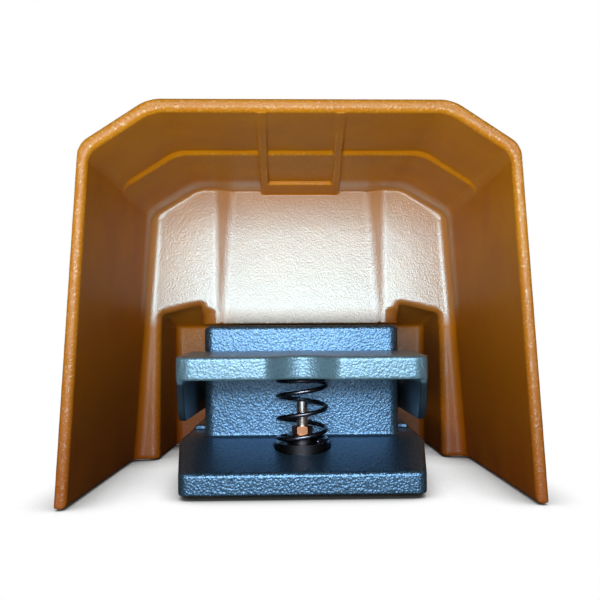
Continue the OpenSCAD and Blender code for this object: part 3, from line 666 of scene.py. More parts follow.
class Finish(Enum):
    """Every finish on the switch."""

    ORANGE = Enamel()
    BLUE = Hammered()
    # The pedal's paint turns dark below about 47.8 mm: painted shade on the cheeks and hubs under the skirt.
    PALE_BLUE = Hammered(
        "pedal_pebble", (0.15, 0.29, 0.42), (0.12, 0.235, 0.35),
        grain_depth=0.00017, metallic=0.4, under_shade_top=0.0478,
    )
    ZINC = Plated("zinc_plate", (0.62, 0.62, 0.60), (0.42, 0.41, 0.37), 0.32)
    GROUND = Plated("ground_steel", (0.68, 0.68, 0.69), (0.45, 0.44, 0.42), 0.2)
    SPRING = Plated(
        "oiled_spring_wire", (0.13, 0.13, 0.155), (0.05, 0.045, 0.05), 0.24,
        marks_per_metre=2100, cloud_per_metre=210,
    )
    BLACKENED = Plated("blackened_steel", (0.05, 0.05, 0.056), (0.02, 0.02, 0.022), 0.3)
    COPPERED = Plated("coppered_nut", (0.42, 0.20, 0.11), (0.16, 0.07, 0.04), 0.3)
    BRONZE = Plated("sintered_bronze", (0.48, 0.31, 0.14), (0.25, 0.15, 0.07), 0.4)
    BRASS = Plated("bare_brass", (0.72, 0.54, 0.22), (0.42, 0.29, 0.10), 0.28)
    NICKEL = Plated("nickel_plate", (0.66, 0.63, 0.58), (0.48, 0.45, 0.40), 0.24)
    RUBBER = Moulded("black_rubber", (0.022, 0.022, 0.022), 0.62)
    BLACK = Moulded("black_moulding", (0.03, 0.03, 0.033), 0.45)
    RED = Moulded("red_moulding", (0.45, 0.03, 0.02), 0.35)

    def build(self) -> bpy.types.Material:
        """The finish's material, built on first use."""
        known = bpy.data.materials.get(self.value.name)
        return known or self.value.material()


SLOT_FINISH = {
    "hood_paint": Finish.ORANGE,
    "base_paint": Finish.BLUE,
    "pedal_paint": Finish.PALE_BLUE,
    "zinc_steel": Finish.ZINC,
    "bright_steel": Finish.GROUND,
    "spring_steel": Finish.SPRING,
    "dark_steel": Finish.BLACKENED,
    "copper_nut": Finish.COPPERED,
    "bronze": Finish.BRONZE,
    "brass": Finish.BRASS,
    "gland_plating": Finish.NICKEL,
    "rubber": Finish.RUBBER,
    "switch_plastic": Finish.BLACK,
    "plunger_plastic": Finish.RED,
}


# ---- Pieces ----


@dataclass
class Shop:
    """Turns surfaces in millimetres into pieces of the frame."""

    rim_y: float
    probe: float = 0.05
    skin_depth: float = 0.5

    def place(self, points: Array) -> Array:
        """Move points from depths in millimetres to the frame in metres."""
        return points * MM + np.array([0.0, self.rim_y, 0.0])

    def piece(
        self, name: str, points: Array, faces: Array | list[list[int]], finish: Finish, body: Body, slot: str,
        replaced: tuple[str, ...], normals: Array | None = None, marks: dict[str, Array] | None = None,
    ) -> bpy.types.Object:
        """Make one object of the frame.

        Args:
            name: The object's name.
            points: Vertices in millimetres, one per row.
            faces: Rows of vertex numbers.
            finish: What it is made of.
            body: The body that it rides on.
            slot: The record's material slot; not used.
            replaced: CAD nodes that it stands for.
            normals: Directions of the surface at its vertices, if they are known.
            marks: Values at its vertices that its finish reads, by name.

        Returns:
            The object.
        """
        mesh = bpy.data.meshes.new(name)
        mesh.from_pydata(self.place(points), [], faces if isinstance(faces, list) else faces.tolist())
        mesh.polygons.foreach_set("use_smooth", np.ones(len(faces), bool))
        for label, values in (marks or {}).items():
            layer = mesh.attributes.new(label, "FLOAT", "POINT")
            layer.data.foreach_set("value", values.astype(np.float32))
        if normals is not None:
            mesh.normals_split_custom_set_from_vertices(normals)
        mesh.materials.append(finish.build())
        mesh.update()
        thing = bpy.data.objects.new(name, mesh)
        bpy.context.scene.collection.objects.link(thing)
        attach(thing, body.value)
        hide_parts(*replaced)
        LOG.info("%s: %d vertices, %s", name, len(points), finish.value.name)
        return thing

    def cast(
        self, name: str, solid: Solid, grid: tuple[Array, Array, Array], finish: Finish, body: Body,
        slot: str, replaced: tuple[str, ...], cavity: Solid | None = None,
    ) -> bpy.types.Object:
        """Make one object from a rounded solid.

        The bend of its surface is the sum of the distances one step away along each axis, which is
        0 on a flat wall and grows on an edge that points outwards.

        Args:
            name: The object's name.
            solid: Its distance function.
            grid: Grid values along the three axes.
            finish: What it is made of.
            body: The body that it rides on.
            slot: The record's material slot.
            replaced: CAD nodes that it stands for.
            cavity: Distance function of its hollow, whose skin is marked as inner.

        Returns:
            The object.
        """
        points, faces = skin(solid, *grid)
        normals = slope_of(solid, points, self.probe)
        normals /= np.maximum(np.linalg.norm(normals, axis=1, keepdims=True), TINY)
        steps = np.concatenate([np.eye(3), -np.eye(3)])
        marks = {"edge": sum(solid(*(points + s).T) for s in steps)}
        if cavity is not None:
            marks["inner"] = np.abs(cavity(*points.T)) < self.skin_depth
        return self.piece(name, points, faces, finish, body, slot, replaced, normals, marks)


@dataclass
class Hood:
    """Cast guard over the pedal, with a ribbed roof, a leaning rear wall and two doorways."""

    shop: Shop
    width: float = 190
    height: float = 157
    shoulder_w: float = 170.6
    shoulder_z: float = 139.5
    roof_w: float = 117
    side_wall: float = 4.8
    side_draft: float = 0.2
    shoulder_wall: float = 3.4
    shoulder_step: float = 0.8
    roof_wall: float = 5.2
    roof_draft: float = 0.3
    outer_r: Band = (3.2, 2.6)
    inner_r: Band = (3, 2.5)
    rim_r: float = 1.6
    foot_r: float = 1.0
    shell_r: float = 2.2
    rear_wall: float = 5
    back_r: float = 6
    clear: float = 0.6
    chamber_l: float = 117
    chamber_lean: float = 11
    corner_r: float = 2
    fillet: float = 5
    fillet_run: float = 10
    rear_w: float = 154
    door_side_z: float = 79.6
    door_inner_z: float = 85
    door_reach: float = 11
    door_start_r: float = 0.5
    door_r: float = 1.5
    door_wall_r: float = 2
    rear_ceiling_z: float = 74.5
    rear_corner_r: float = 4
    fall_run: float = 8
    fall_head: float = 0.5
    box_end: float = 176
    tower_w: float = 110.6
    tower_z: float = 74
    tower_r: float = 12
    tower_fade: tuple[float, float, float] = (1, 66, 6)
    low_room_r: tuple[float, float, float] = (0.5, 1, 0.8)
    lintel_r: float = 4.5
    step_at: float = 55.8
    step_run: float = 3.2
    step_h: float = 1.8
    inner_step_at: float = 109
    rib_start: float = 3
    rib_past: float = 3
    rib_rise: float = 0.1
    rib_drop: float = 2.2
    rib_w: float = 4
    rib_r: float = 0.9
    rib_sink: float = 1.5
    rib_front_gap: float = 31
    rib_rear_gap: float = 39.4
    slab_r: float = 0.6
    sink: float = 4.5
    panel_drop: float = 2
    panel_depth: float = 1.4
    panel_wide: Band = (46.5, 0.9)
    panel_narrow: Band = (43, -5.2)
    panel_over: float = 1.2
    panel_flank: float = 0.6
    panel_gap: float = 0.3
    panel_r: tuple[float, float, float] = (1.2, 0.6, 0.9)
    eaves: Band = (2, 4)
    eaves_r: float = 8
    ridge_up: float = 3
    ridge_r: float = 6
    fall_r: float = 8
    rear_edge_r: float = 5
    waist_r: float = 3
    nib: tuple[float, float, float, float] = (121.5, 148.2, 1.1, 0.5)
    entry_z: float = 38
    entry_r: float = 15.4
    entry_in: float = 3
    entry_edge: Band = (0.2, 0.8)
    across: Stops = (0, 2, 12, 0.9, 23, 1.8, 38, 1.0, 60, 1.8, 73, 1.1, 97)
    deep: Stops = (-2, 0.8, 7, 2.4, 62, 0.7, 68, 2.4, 106, 0.8, 112, 1.1, 140, 2.2, 170, 1.2, 183)
    up: Stops = (-1, 1.2, 4, 2.6, 68, 1.0, 100, 2.6, 130, 0.9, 159)

    @property
    def lean(self) -> float:
        """How far the rear wall leans back for each millimetre of height."""
        return self.chamber_lean / (self.height - self.roof_wall - self.step_h)

    def outline(
        self, x: Array, z: Array, side: float, shoulder: Array | float, roof: Array | float,
        low_r: float, high_r: float,
    ) -> Array:
        """Distance to the hood's outline across, moved inwards by a wall.

        Three planes meet at rounded edges: a side that leans in, a sloped shoulder and a flat roof.

        Args:
            x: Places across.
            z: Heights.
            side: Wall at the sides.
            shoulder: Wall at the shoulders.
            roof: Wall at the roof.
            low_r: Radius between side and shoulder.
            high_r: Radius between shoulder and roof.

        Returns:
            The distances.
        """
        out = np.abs(x)
        k = (self.shoulder_w - self.width + self.side_draft * side) / 2 / self.shoulder_z
        wall = (out - (self.width / 2 - side + k * z)) / math.hypot(1, k)
        low_z = self.shoulder_z - shoulder
        low_x = self.width / 2 - side + k * low_z
        high_z = self.height - roof
        high_x = self.roof_w / 2 - self.roof_draft * roof
        run, rise = low_x - high_x, high_z - low_z
        slope = ((out - high_x) * rise + (z - high_z) * run) / np.hypot(run, rise)
        return cut(cut(wall, slope, low_r), z - high_z, high_r)

    def panel(self, out: Array, behind: Array, z: Array) -> Array:
        """Distance to the sunk middle panel of the rear wall.

        Its depth and its two half widths, at the wall and at its bottom, change evenly from its foot
        to the roof. Its flanks run straight between the two half widths.

        Args:
            out: Places across, without their sign.
            behind: Depths behind the rear wall.
            z: Heights.

        Returns:
            The distances.
        """
        roof = self.height - self.roof_wall - self.step_h
        foot = self.tower_z - self.panel_drop
        rise = np.clip((z - foot) / (roof - foot), 0, 1)
        depth = self.panel_depth + (self.sink - self.panel_depth) * rise
        wide, narrow = (start + gain * rise for start, gain in (self.panel_wide, self.panel_narrow))
        flank = out - wide + (wide - narrow) * np.clip(behind / depth, 0, self.panel_over)
        bottom_r, top_r, _ = self.panel_r
        panel = cut(flank * self.panel_flank, behind - depth, bottom_r)
        return cut(panel, z - roof + self.panel_gap, top_r)

    def chamber(self, room: Array, out: Array, d: Array, z: Array) -> Array:
        """Weld the rear chamber to the room: a low room over the box, and a doorway on each side.

        The fillet round a doorway grows from the lintel's radius to the upright's, by the product of
        one smooth step down from the lintel and one inwards from the side.

        Args:
            room: Distance to the room in front.
            out: Places across, without their sign.
            d: Depths.
            z: Heights.

        Returns:
            The distances.
        """
        side, inner = self.rear_w / 2, self.tower_w / 2
        lintel = line(out, z, (inner, self.door_inner_z), (side, self.door_side_z))
        head = (self.chamber_l + self.fall_run, self.door_inner_z + self.fall_head)
        fall = line(d, z, head, (self.box_end, self.rear_ceiling_z))
        walls = cut(out - side, d - self.box_end, self.rear_corner_r)
        walls = cut(walls, self.chamber_l - self.door_reach - d, self.door_start_r)
        door = cut(cut(inner - out, lintel, self.door_r), fall, self.door_r)
        door = cut(door, walls, self.door_wall_r)
        ceiling_r, wall_r, lip_r = self.low_room_r
        low = cut(cut(z - self.tower_z, fall, ceiling_r), walls, wall_r)
        start, outer, run = self.tower_fade
        upright = ease((-lintel - start) / run) * ease((outer - out) / run)
        room = join(room, door, self.lintel_r + (self.tower_r - self.lintel_r) * upright)
        return join(room, low, lip_r)

    def cavity(self, x: Array, d: Array, z: Array) -> Array:
        """Distance to the room inside: foot chamber, sunk middle panel and rear chamber.

        The roof's wall grows by one smooth step. The rear corners' fillet shrinks smoothly over the
        last stretch below the shoulder.

        Args:
            x: Places across.
            d: Depths.
            z: Heights.

        Returns:
            The distances.
        """
        out = np.abs(x)
        step = ease((d - self.step_at) / self.step_run + 0.5) * self.step_h
        shoulder = self.shoulder_wall + self.shoulder_step * step
        room = self.outline(x, z, self.side_wall, shoulder, self.roof_wall + step, *self.inner_r)
        behind = d - (self.chamber_l + self.lean * z)
        below = ease((self.shoulder_z - z) / self.fillet_run)
        corner = self.corner_r + (self.fillet - self.corner_r) * below
        room = cut(room, behind / math.hypot(1, self.lean), corner)
        room = join(room, self.panel(out, behind, z), self.panel_r[2])
        return self.chamber(room, out, d, z)

    def ribs(self, x: Array, d: Array, z: Array) -> Array:
        """Distance to the two ribs under the roof and the thicker roof between their rear ends.

        The ribs spread evenly with depth and deepen evenly as far as the inner step.

        Args:
            x: Places across.
            d: Depths.
            z: Heights.

        Returns:
            The distances.
        """
        start, end = self.rib_start, self.chamber_l + self.chamber_lean + self.rib_past
        roof = self.height - self.roof_wall
        low = roof - self.step_h - self.rib_drop
        spread = (self.rib_rear_gap - self.rib_front_gap) * (d - start) / (end - start)
        middle = (self.rib_front_gap + spread) / 2
        bottom = np.interp(d, [start, self.inner_step_at], [roof - self.rib_rise, low])
        rib = cut(np.abs(np.abs(x) - middle) - self.rib_w / 2, bottom - z, self.rib_r)
        slab = cut(cut(np.abs(x) - middle, self.inner_step_at - d, self.slab_r), low - z, self.slab_r)
        return join(rib, slab, self.slab_r)

    def solid(self, x: Array, d: Array, z: Array) -> Array:
        """Distance to the whole casting: the outer body less the cavity, with ribs, nib and entry.

        Args:
            x: Places across.
            d: Depths.
            z: Heights.

        Returns:
            The distances.
        """
        out = np.abs(x)
        front = self.outline(x, z, 0, 0, 0, *self.outer_r)
        back = self.sink / self.height + self.lean
        behind = (d - (self.chamber_l + self.rear_wall + back * z)) / math.hypot(1, back)
        front = cut(cut(front, behind, self.back_r), -d, self.rim_r)
        side = self.rear_w / 2 + self.rear_wall
        eaves = (side - self.eaves[0], self.door_side_z + self.eaves[1])
        ridge = (self.tower_w / 2, self.door_inner_z + self.rear_wall + self.ridge_up)
        fall = line(
            d, z, (self.chamber_l + self.chamber_lean + self.rear_wall, ridge[1]),
            (self.box_end + self.rear_wall, self.rear_ceiling_z + self.rear_wall),
        )
        rear = cut(line(out, z, eaves, (side, self.clear)), line(out, z, ridge, eaves), self.eaves_r)
        rear = cut(cut(cut(rear, z - ridge[1], self.ridge_r), fall, self.fall_r), self.chamber_l - d)
        rear = cut(rear, d - self.box_end - self.rear_wall, self.rear_edge_r)
        body = cut(join(front, rear, self.waist_r), self.clear - z, self.foot_r)
        shell = cut(body, -self.cavity(x, d, z), self.shell_r)
        shell = join(shell, np.maximum(self.ribs(x, d, z), body + self.rib_sink), self.rib_r)
        nib_d, nib_z, nib_r, nib_fillet = self.nib
        nib = np.sqrt(x**2 + (d - nib_d) ** 2 + (z - nib_z) ** 2) - nib_r
        shell = join(shell, nib, nib_fillet)
        end_r, edge_r = self.entry_edge
        entry = cut(rod(x, z, (0, self.entry_z), self.entry_r), self.box_end - self.entry_in - d, end_r)
        return cut(shell, -entry, edge_r)

    def build(self) -> None:
        """Make the hood."""
        self.shop.cast(
            "hood_casting", self.solid, (even(ticks(*self.across)), ticks(*self.deep), ticks(*self.up)),
            Finish.ORANGE, Body.BASE, "hood_paint", ("hood",), self.cavity,
        )


@dataclass
class Base:
    """Cast base: a ramp up to the switch box, a deck on each side of it, and wings for the rear feet."""

    shop: Shop
    toe_at: float = 14
    toe_h: float = 11
    toe_w: float = 100
    toe_r: float = 3.5
    ramp_h: float = 20.4
    ramp_r: float = 2
    deck_w: float = 115
    deck_at: float = 86
    deck_h: float = 22.7
    deck_in: float = 0.5
    deck_out: float = 1
    deck_side_r: float = 1.0
    deck_step_r: float = 0.8
    deck_top_r: float = 1.6
    gap: float = 2
    chamfer: float = 4
    chamfer_r: float = 1.2
    wing_w: float = 128
    wing_h: float = 10
    wing_at: float = 134
    wing_corner_r: float = 5
    wing_r: float = 1.2
    weld_r: float = 1.5
    under_r: float = 0.8
    box_at: float = 60.7
    box_end: float = 176
    box_w: float = 91
    box_top: float = 71.7
    box_r: float = 4.5
    box_up: float = 1
    box_foot_r: float = 1.6
    lid_r: float = 2.5
    wall: float = 5
    rear_wall: float = 10
    room_r: Band = (3, 2)
    cover: tuple[float, float, float] = (47.0, 58.9, 172.8)
    cover_r: float = 4
    ledge_z: float = 5.5
    shaft: tuple[float, float] = (92, 44)
    ring: Band = (12, 6)
    bush: Band = (7.02, 8)
    seal: tuple[float, float, float] = (8.5, 7, 2)
    seat_at: float = 47
    seat_z: float = 14.99
    seat_r: float = 12.6
    bolt: Band = (2.55, 4)
    entry_z: float = 38
    entry: Band = (10.1, 160)
    boss_in: float = 6
    boss_end: float = 184
    boss_r: float = 15
    boss_edge: Band = (0.8, 1.0)
    screws: tuple[float, float, float] = (34, 20, 56)
    screw_hole: Band = (3.1, 9.4)
    fixings: tuple[float, float, float, float] = (51.5, 112, 150, 2.75)
    feet: tuple[float, float, float, float] = (38, 26, 55.7, 164)
    foot_r: float = 6.52
    foot_in: float = 1
    edge_r: float = 0.5
    posts: tuple[tuple[float, float, float, float], ...] = (
        (-32.5, 117, 32.75, 5), (32.5, 117, 32.75, 5), (-28, 150, 34, 6),
    )
    across: Stops = (0, 1.2, 14.4, 2.6, 36, 1.1, 52, 0.8, 60, 1.1, 65.5)
    deep: Stops = (
        12, 0.7, 19, 2.0, 33, 1.2, 57, 0.7, 68, 2.0, 84, 1.0, 103, 2.0, 108, 1.2, 116, 2.6, 132, 1.2, 158,
        1.3, 185.5,
    )
    up: Stops = (0.5, 0.8, 6, 0.9, 24, 1.8, 34, 1.2, 54, 1.8, 64, 0.7, 73.5)

    def slab(self, x: Array, d: Array, z: Array) -> Array:
        """Distance to ramp, deck and wings.

        The ramp is a slope up to the level deck. The deck's upper side edges are cut at 45 degrees,
        but no further in than the chamfer's width.

        Args:
            x: Places across.
            d: Depths.
            z: Heights.

        Returns:
            The distances.
        """
        out = np.abs(x)
        front, rear = self.toe_w / 2, self.deck_w / 2
        flare = line(d, out, (self.toe_at, front), (self.box_at, rear - self.deck_in))
        side = cut(flare, out - rear, self.deck_side_r)
        top = line(d, z, (self.toe_at, self.toe_h), (self.box_at, self.ramp_h))
        deck = cut(self.deck_at - d, z - self.deck_h, self.deck_step_r)
        level = join(cut(top, z - self.ramp_h, self.ramp_r), deck, self.deck_step_r)
        bevel = (out + z - rear - self.deck_out - self.ramp_h + self.chamfer) * math.sqrt(0.5)
        bevel = np.minimum(bevel, out - rear + self.chamfer)
        plate = cut(side, self.toe_at - d, self.toe_r)
        plate = cut(cut(plate, level, self.deck_top_r), bevel, self.chamfer_r)
        wing = cut(out - self.wing_w / 2, self.wing_at - d, self.wing_corner_r)
        plate = join(plate, cut(wing, z - self.wing_h, self.wing_r), self.weld_r)
        return cut(cut(plate, d - self.box_end, self.weld_r), self.gap - z, self.under_r)

    def hollows(self, x: Array, d: Array, z: Array) -> Array:
        """Distance to all that is taken out: the box's room, the cover's pit, holes and sockets.

        Posts and the rings round the shaft are left standing in the room.

        Args:
            x: Places across.
            d: Depths.
            z: Heights.

        Returns:
            The distances.
        """
        out = np.abs(x)
        half = self.box_w / 2 - self.wall
        corner_r, roof_r = self.room_r
        length = block(d, self.box_at + self.wall, self.box_end - self.rear_wall)
        room = cut(out - half, length, corner_r)
        room = cut(room, z - self.box_top + self.wall, roof_r)
        pit = cut(out - self.cover[0], block(d, self.cover[1], self.cover[2]), self.cover_r)
        cuts = np.minimum(room, np.maximum(pit, z - self.ledge_z))
        for px, py, low_z, r in self.posts:
            cuts = np.maximum(cuts, -np.maximum(rod(x, d, (px, py), r), low_z - z))
        r, reach = self.ring
        cuts = np.maximum(cuts, -np.maximum(rod(d, z, self.shaft, r), half - reach - out))
        r, reach = self.bush
        cuts = np.minimum(cuts, np.maximum(rod(d, z, self.shaft, r), half - reach - out))
        r, low, high = self.seal
        cuts = np.minimum(cuts, np.maximum(rod(d, z, self.shaft, r), block(out, half - low, half - high)))
        r, start = self.entry
        cuts = np.minimum(cuts, np.maximum(rod(x, z, (0, self.entry_z), r), start - d))
        r, reach = self.screw_hole
        for level in self.screws[1:]:
            hole = rod(out, z, (self.screws[0], level), r)
            cuts = np.minimum(cuts, np.maximum(hole, self.box_end - reach - d))
        r, floor = self.bolt
        for radius, bottom in ((self.seat_r, self.seat_z), (r, self.gap + floor)):
            cuts = np.minimum(cuts, np.maximum(rod(x, d, (0, self.seat_at), radius), bottom - z))
        fx, first, second, r = self.fixings
        for place in (first, second):
            cuts = np.minimum(cuts, rod(out, d, (fx, place), r))
        for place in (self.feet[:2], self.feet[2:]):
            socket = np.maximum(rod(out, d, place, self.foot_r), z - self.gap - self.foot_in)
            cuts = np.minimum(cuts, socket)
        return cuts

    def solid(self, x: Array, d: Array, z: Array) -> Array:
        """Distance to the whole casting: slab, box and boss, less the hollows.

        Args:
            x: Places across.
            d: Depths.
            z: Heights.

        Returns:
            The distances.
        """
        box = cut(np.abs(x) - self.box_w / 2, block(d, self.box_at, self.box_end), self.box_r)
        box = np.maximum(cut(box, z - self.box_top, self.lid_r), self.gap + self.box_up - z)
        body = join(self.slab(x, d, z), box, self.box_foot_r)
        edge_r, weld_r = self.boss_edge
        length = block(d, self.box_end - self.boss_in, self.boss_end)
        body = join(body, cut(rod(x, z, (0, self.entry_z), self.boss_r), length, edge_r), weld_r)
        return cut(body, -self.hollows(x, d, z), self.edge_r)

    def build(self) -> None:
        """Make the casting."""
        self.shop.cast(
            "base_casting_paint", self.solid, (even(ticks(*self.across)), ticks(*self.deep), ticks(*self.up)),
            Finish.BLUE, Body.BASE, "base_paint", ("base_casting",),
        )


@dataclass
class Pedal:
    """Cast pedal: a sloping plate with a skirt, two cheeks and the hubs that clamp the shaft."""

    shop: Shop
    front: float = 12
    rear: float = 59.3
    rear_r: float = 0.6
    width: float = 102.4
    top: float = 57.8
    slope_deg: float = 2.4
    skirt: float = 9.4
    skirt_r: float = 0.9
    skirt_t: float = 5
    skin: float = 5
    under_rear: float = 3.5
    under_r: tuple[float, float, float, float] = (1.5, 0.8, 1, 0.6)
    cheek_t: float = 3.2
    corner: float = 6.5
    notch_r: float = 13.5
    notch_depth: float = 8
    lip_r: float = 3.5
    overlap: float = 1
    rib: Band = (22.2, 25.2)
    rib_front: float = 8
    rib_rear: float = 2
    rib_low: float = 2
    low: float = 31
    shaft: tuple[float, float] = (92, 44)
    hub_r: float = 11
    hub_end: float = 56.2
    hub_edge_r: float = 0.9
    shaft_r: float = 5.02
    pin: Band = (2.5, 2.02)
    spring_at: float = 47
    spring_r: float = 12.3
    spring_drop: float = 0.2
    spring_edge_r: float = 0.5
    pad: tuple[float, float] = (7.0, 46.8)
    pad_r: float = 0.4
    cheek_at: Band = (3, 9)
    cheek_drop: float = 0.6
    cheek_r: tuple[float, float, float] = (6, 0.8, 0.7)
    weld_r: float = 0.8
    edge_r: float = 1.3
    bore_r: float = 0.4
    across: Stops = (0, 0.7, 21, 1.0, 27, 2.2, 43, 0.6, 57.5)
    deep: Stops = (10.5, 0.6, 26, 1.0, 62, 1.4, 79, 0.8, 106.5)
    up: Stops = (29.5, 0.75, 61.5)

    def plan(self, x: Array, d: Array) -> Array:
        """Distance to the plan outline: round corners and a hollow with two soft lips at the front.

        Args:
            x: Places across.
            d: Depths.

        Returns:
            The distances.
        """
        out = np.abs(x)
        plate = cut(out - self.width / 2, self.front - d, self.corner)
        centre = self.front + self.notch_depth - self.notch_r
        return cut(plate, -rod(x, d, (0, centre), self.notch_r), self.lip_r)

    def plate(self, x: Array, d: Array, z: Array, upper: Array, plan: Array) -> Array:
        """Distance to the hollow plate with its ribs, the spring's boss and the stop's pad.

        Args:
            x: Places across.
            d: Depths.
            z: Heights.
            upper: Distance to the plane of the top.
            plan: Distance to the plan outline.

        Returns:
            The distances.
        """
        out = np.abs(x)
        skirt_z = self.top - self.skirt
        root = upper + self.skin - self.overlap
        plate = cut(cut(plan, d - self.rear, self.rear_r), upper, self.edge_r)
        plate = cut(plate, skirt_z - z, self.skirt_r)
        front_r, rear_r, roof_r, lip_r = self.under_r
        inner = self.width / 2 - self.cheek_t
        under = cut(out - inner, self.front + self.notch_depth + self.skirt_t - d, front_r)
        under = cut(cut(under, d - self.rear + self.under_rear, rear_r), upper + self.skin, roof_r)
        plate = cut(plate, -under, lip_r)
        length = block(d, self.front + self.rib_front, self.rear - self.rib_rear)
        ribs = np.maximum(block(out, *self.rib), length)
        ribs = np.maximum(np.maximum(ribs, skirt_z + self.rib_low - z), root)
        plate = join(plate, ribs, self.weld_r)
        middle = (0, self.spring_at)
        boss = cut(rod(x, d, middle, self.spring_r), skirt_z - self.spring_drop - z, self.spring_edge_r)
        boss = np.maximum(np.maximum(boss, root), d - self.rear)
        stop = cut(rod(x, d, middle, self.pad[0]), self.pad[1] - z, self.pad_r)
        return join(plate, np.minimum(boss, np.maximum(stop, root)), self.weld_r)

    def solid(self, x: Array, d: Array, z: Array) -> Array:
        """Distance to the whole casting: plate, cheeks and hubs, less the bores.

        A cheek is bounded by a slanting front edge, a flat bottom and a straight back that falls to
        the hub. Behind the shaft it ends in a round of the bottom's own radius.

        Args:
            x: Places across.
            d: Depths.
            z: Heights.

        Returns:
            The distances.
        """
        out = np.abs(x)
        rise = math.tan(math.radians(self.slope_deg))
        upper = (z - self.top - rise * (d - self.front)) / math.hypot(1, rise)
        plan = self.plan(x, d)
        plate = self.plate(x, d, z, upper, plan)
        inner = self.width / 2 - self.cheek_t
        swing = self.shaft[1] - self.low
        first, second = self.cheek_at
        edge = -line(d, z, (self.front + first, self.top - self.skirt), (self.front + second, self.low))
        back = line(
            d, z, (self.rear, self.top + rise * (self.rear - self.front) - self.cheek_drop),
            (self.shaft[0], self.shaft[1] + swing - self.cheek_drop),
        )
        low_r, back_r, face_r = self.cheek_r
        side = cut(cut(edge, self.low - z, low_r), np.maximum(back, upper + self.cheek_drop), back_r)
        side = np.minimum(np.maximum(side, d - self.shaft[0]), rod(d, z, self.shaft, swing))
        cheek = cut(np.maximum(side, plan), block(out, inner, self.width / 2), face_r)
        hub = cut(rod(d, z, self.shaft, self.hub_r), block(out, inner, self.hub_end), self.hub_edge_r)
        body = join(join(plate, cheek, self.weld_r), hub, self.weld_r)
        bore = rod(d, z, self.shaft, self.shaft_r)
        pin_out, pin_r = self.pin
        pin = rod(out, d, (self.width / 2 + pin_out, self.shaft[0]), pin_r)
        return cut(body, -np.minimum(bore, pin), self.bore_r)

    def build(self) -> None:
        """Make the casting."""
        self.shop.cast(
            "pedal_paint_coat", self.solid, (even(ticks(*self.across)), ticks(*self.deep), ticks(*self.up)),
            Finish.PALE_BLUE, Body.PEDAL, "pedal_paint", ("pedal",),
        )


@dataclass
class ReturnSpring:
    """Compression spring between the seat and the pedal, with closed ends."""

    shop: Shop
    foot: float = 19.236
    head: float = 48.05
    at: float = 47
    radius: float = 10.7
    wire: float = 2
    closed: float = 0.8
    closed_rise: float = 0.55
    open_turns: float = 2.5
    start_deg: float = 54
    along: int = 420
    around: int = 18
    blend: int = 11
    tip_length: int = 4
    tip_out: float = 0.3
    pressed: float = 0.636

    def centre_line(self) -> tuple[Array, Array]:
        """The coil's centre line.

        After t turns the wire's centre stands at angle 360 t less the start angle, on the mean
        radius. Its height rises slowly over each closed end and steadily between them, and the
        change between the two is smoothed.

        Returns:
            The points, one per row, and their outward directions across the coil.
        """
        turns = self.open_turns + 2 * self.closed
        t = np.linspace(0, turns, self.along)
        free = self.head - self.foot - self.wire
        flat = self.wire * self.closed_rise
        bends = [0, self.closed, self.closed + self.open_turns, turns]
        height = np.interp(t, bends, [0, flat, free - flat, free])
        kernel = np.hanning(2 * self.blend + 1)
        height = np.convolve(np.pad(height, self.blend, mode="edge"), kernel / kernel.sum(), mode="valid")
        a = np.radians(360 * t - self.start_deg)
        outward = np.stack([np.cos(a), np.sin(a), np.zeros_like(a)], axis=1)
        level = self.foot + self.wire / 2 + height
        axle = np.stack([np.zeros_like(a), np.full_like(a, self.at), level], axis=1)
        return axle + self.radius * outward, outward

    def build(self) -> None:
        """Sweep a round wire along the coil.

        The wire's ring is set square to the coil's direction. Its radius grows from each tip with
        the square root of the distance, which rounds the ends off.
        """
        centre, outward = self.centre_line()
        run = np.gradient(centre, axis=0)
        run /= np.linalg.norm(run, axis=1, keepdims=True)
        outward -= run * (outward * run).sum(1, keepdims=True)
        outward /= np.linalg.norm(outward, axis=1, keepdims=True)
        across = np.cross(run, outward)
        b = np.linspace(0, 2 * np.pi, self.around, endpoint=False)
        ring = np.cos(b)[None, :, None] * outward[:, None] + np.sin(b)[None, :, None] * across[:, None]
        tip = np.minimum(np.arange(self.along), np.arange(self.along)[::-1])
        r = self.wire / 2 * np.sqrt(np.clip((tip + 1) / self.tip_length, 0, 1))
        points = (centre[:, None] + ring * r[:, None, None]).reshape(-1, 3)
        ends = np.array([centre[0] - run[0] * self.tip_out, centre[-1] + run[-1] * self.tip_out])
        first, last = len(points), len(points) + 1
        i = np.arange(self.around)
        j = (i + 1) % self.around
        base = (self.along - 1) * self.around
        front = np.stack([np.full_like(i, first), j, i], 1)
        rear = np.stack([np.full_like(i, last), base + i, base + j], 1)
        faces = [*tube_faces(self.along, self.around).tolist(), *front.tolist(), *rear.tolist()]
        coil = self.shop.piece(
            "return_spring_wire", np.concatenate([points, ends]), faces, Finish.SPRING, Body.BASE,
            "spring_steel", ("return_spring",),
        )
        anchor = self.shop.place(np.array([0, self.at, self.foot]))
        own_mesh(coil)


# ---- Studio ----


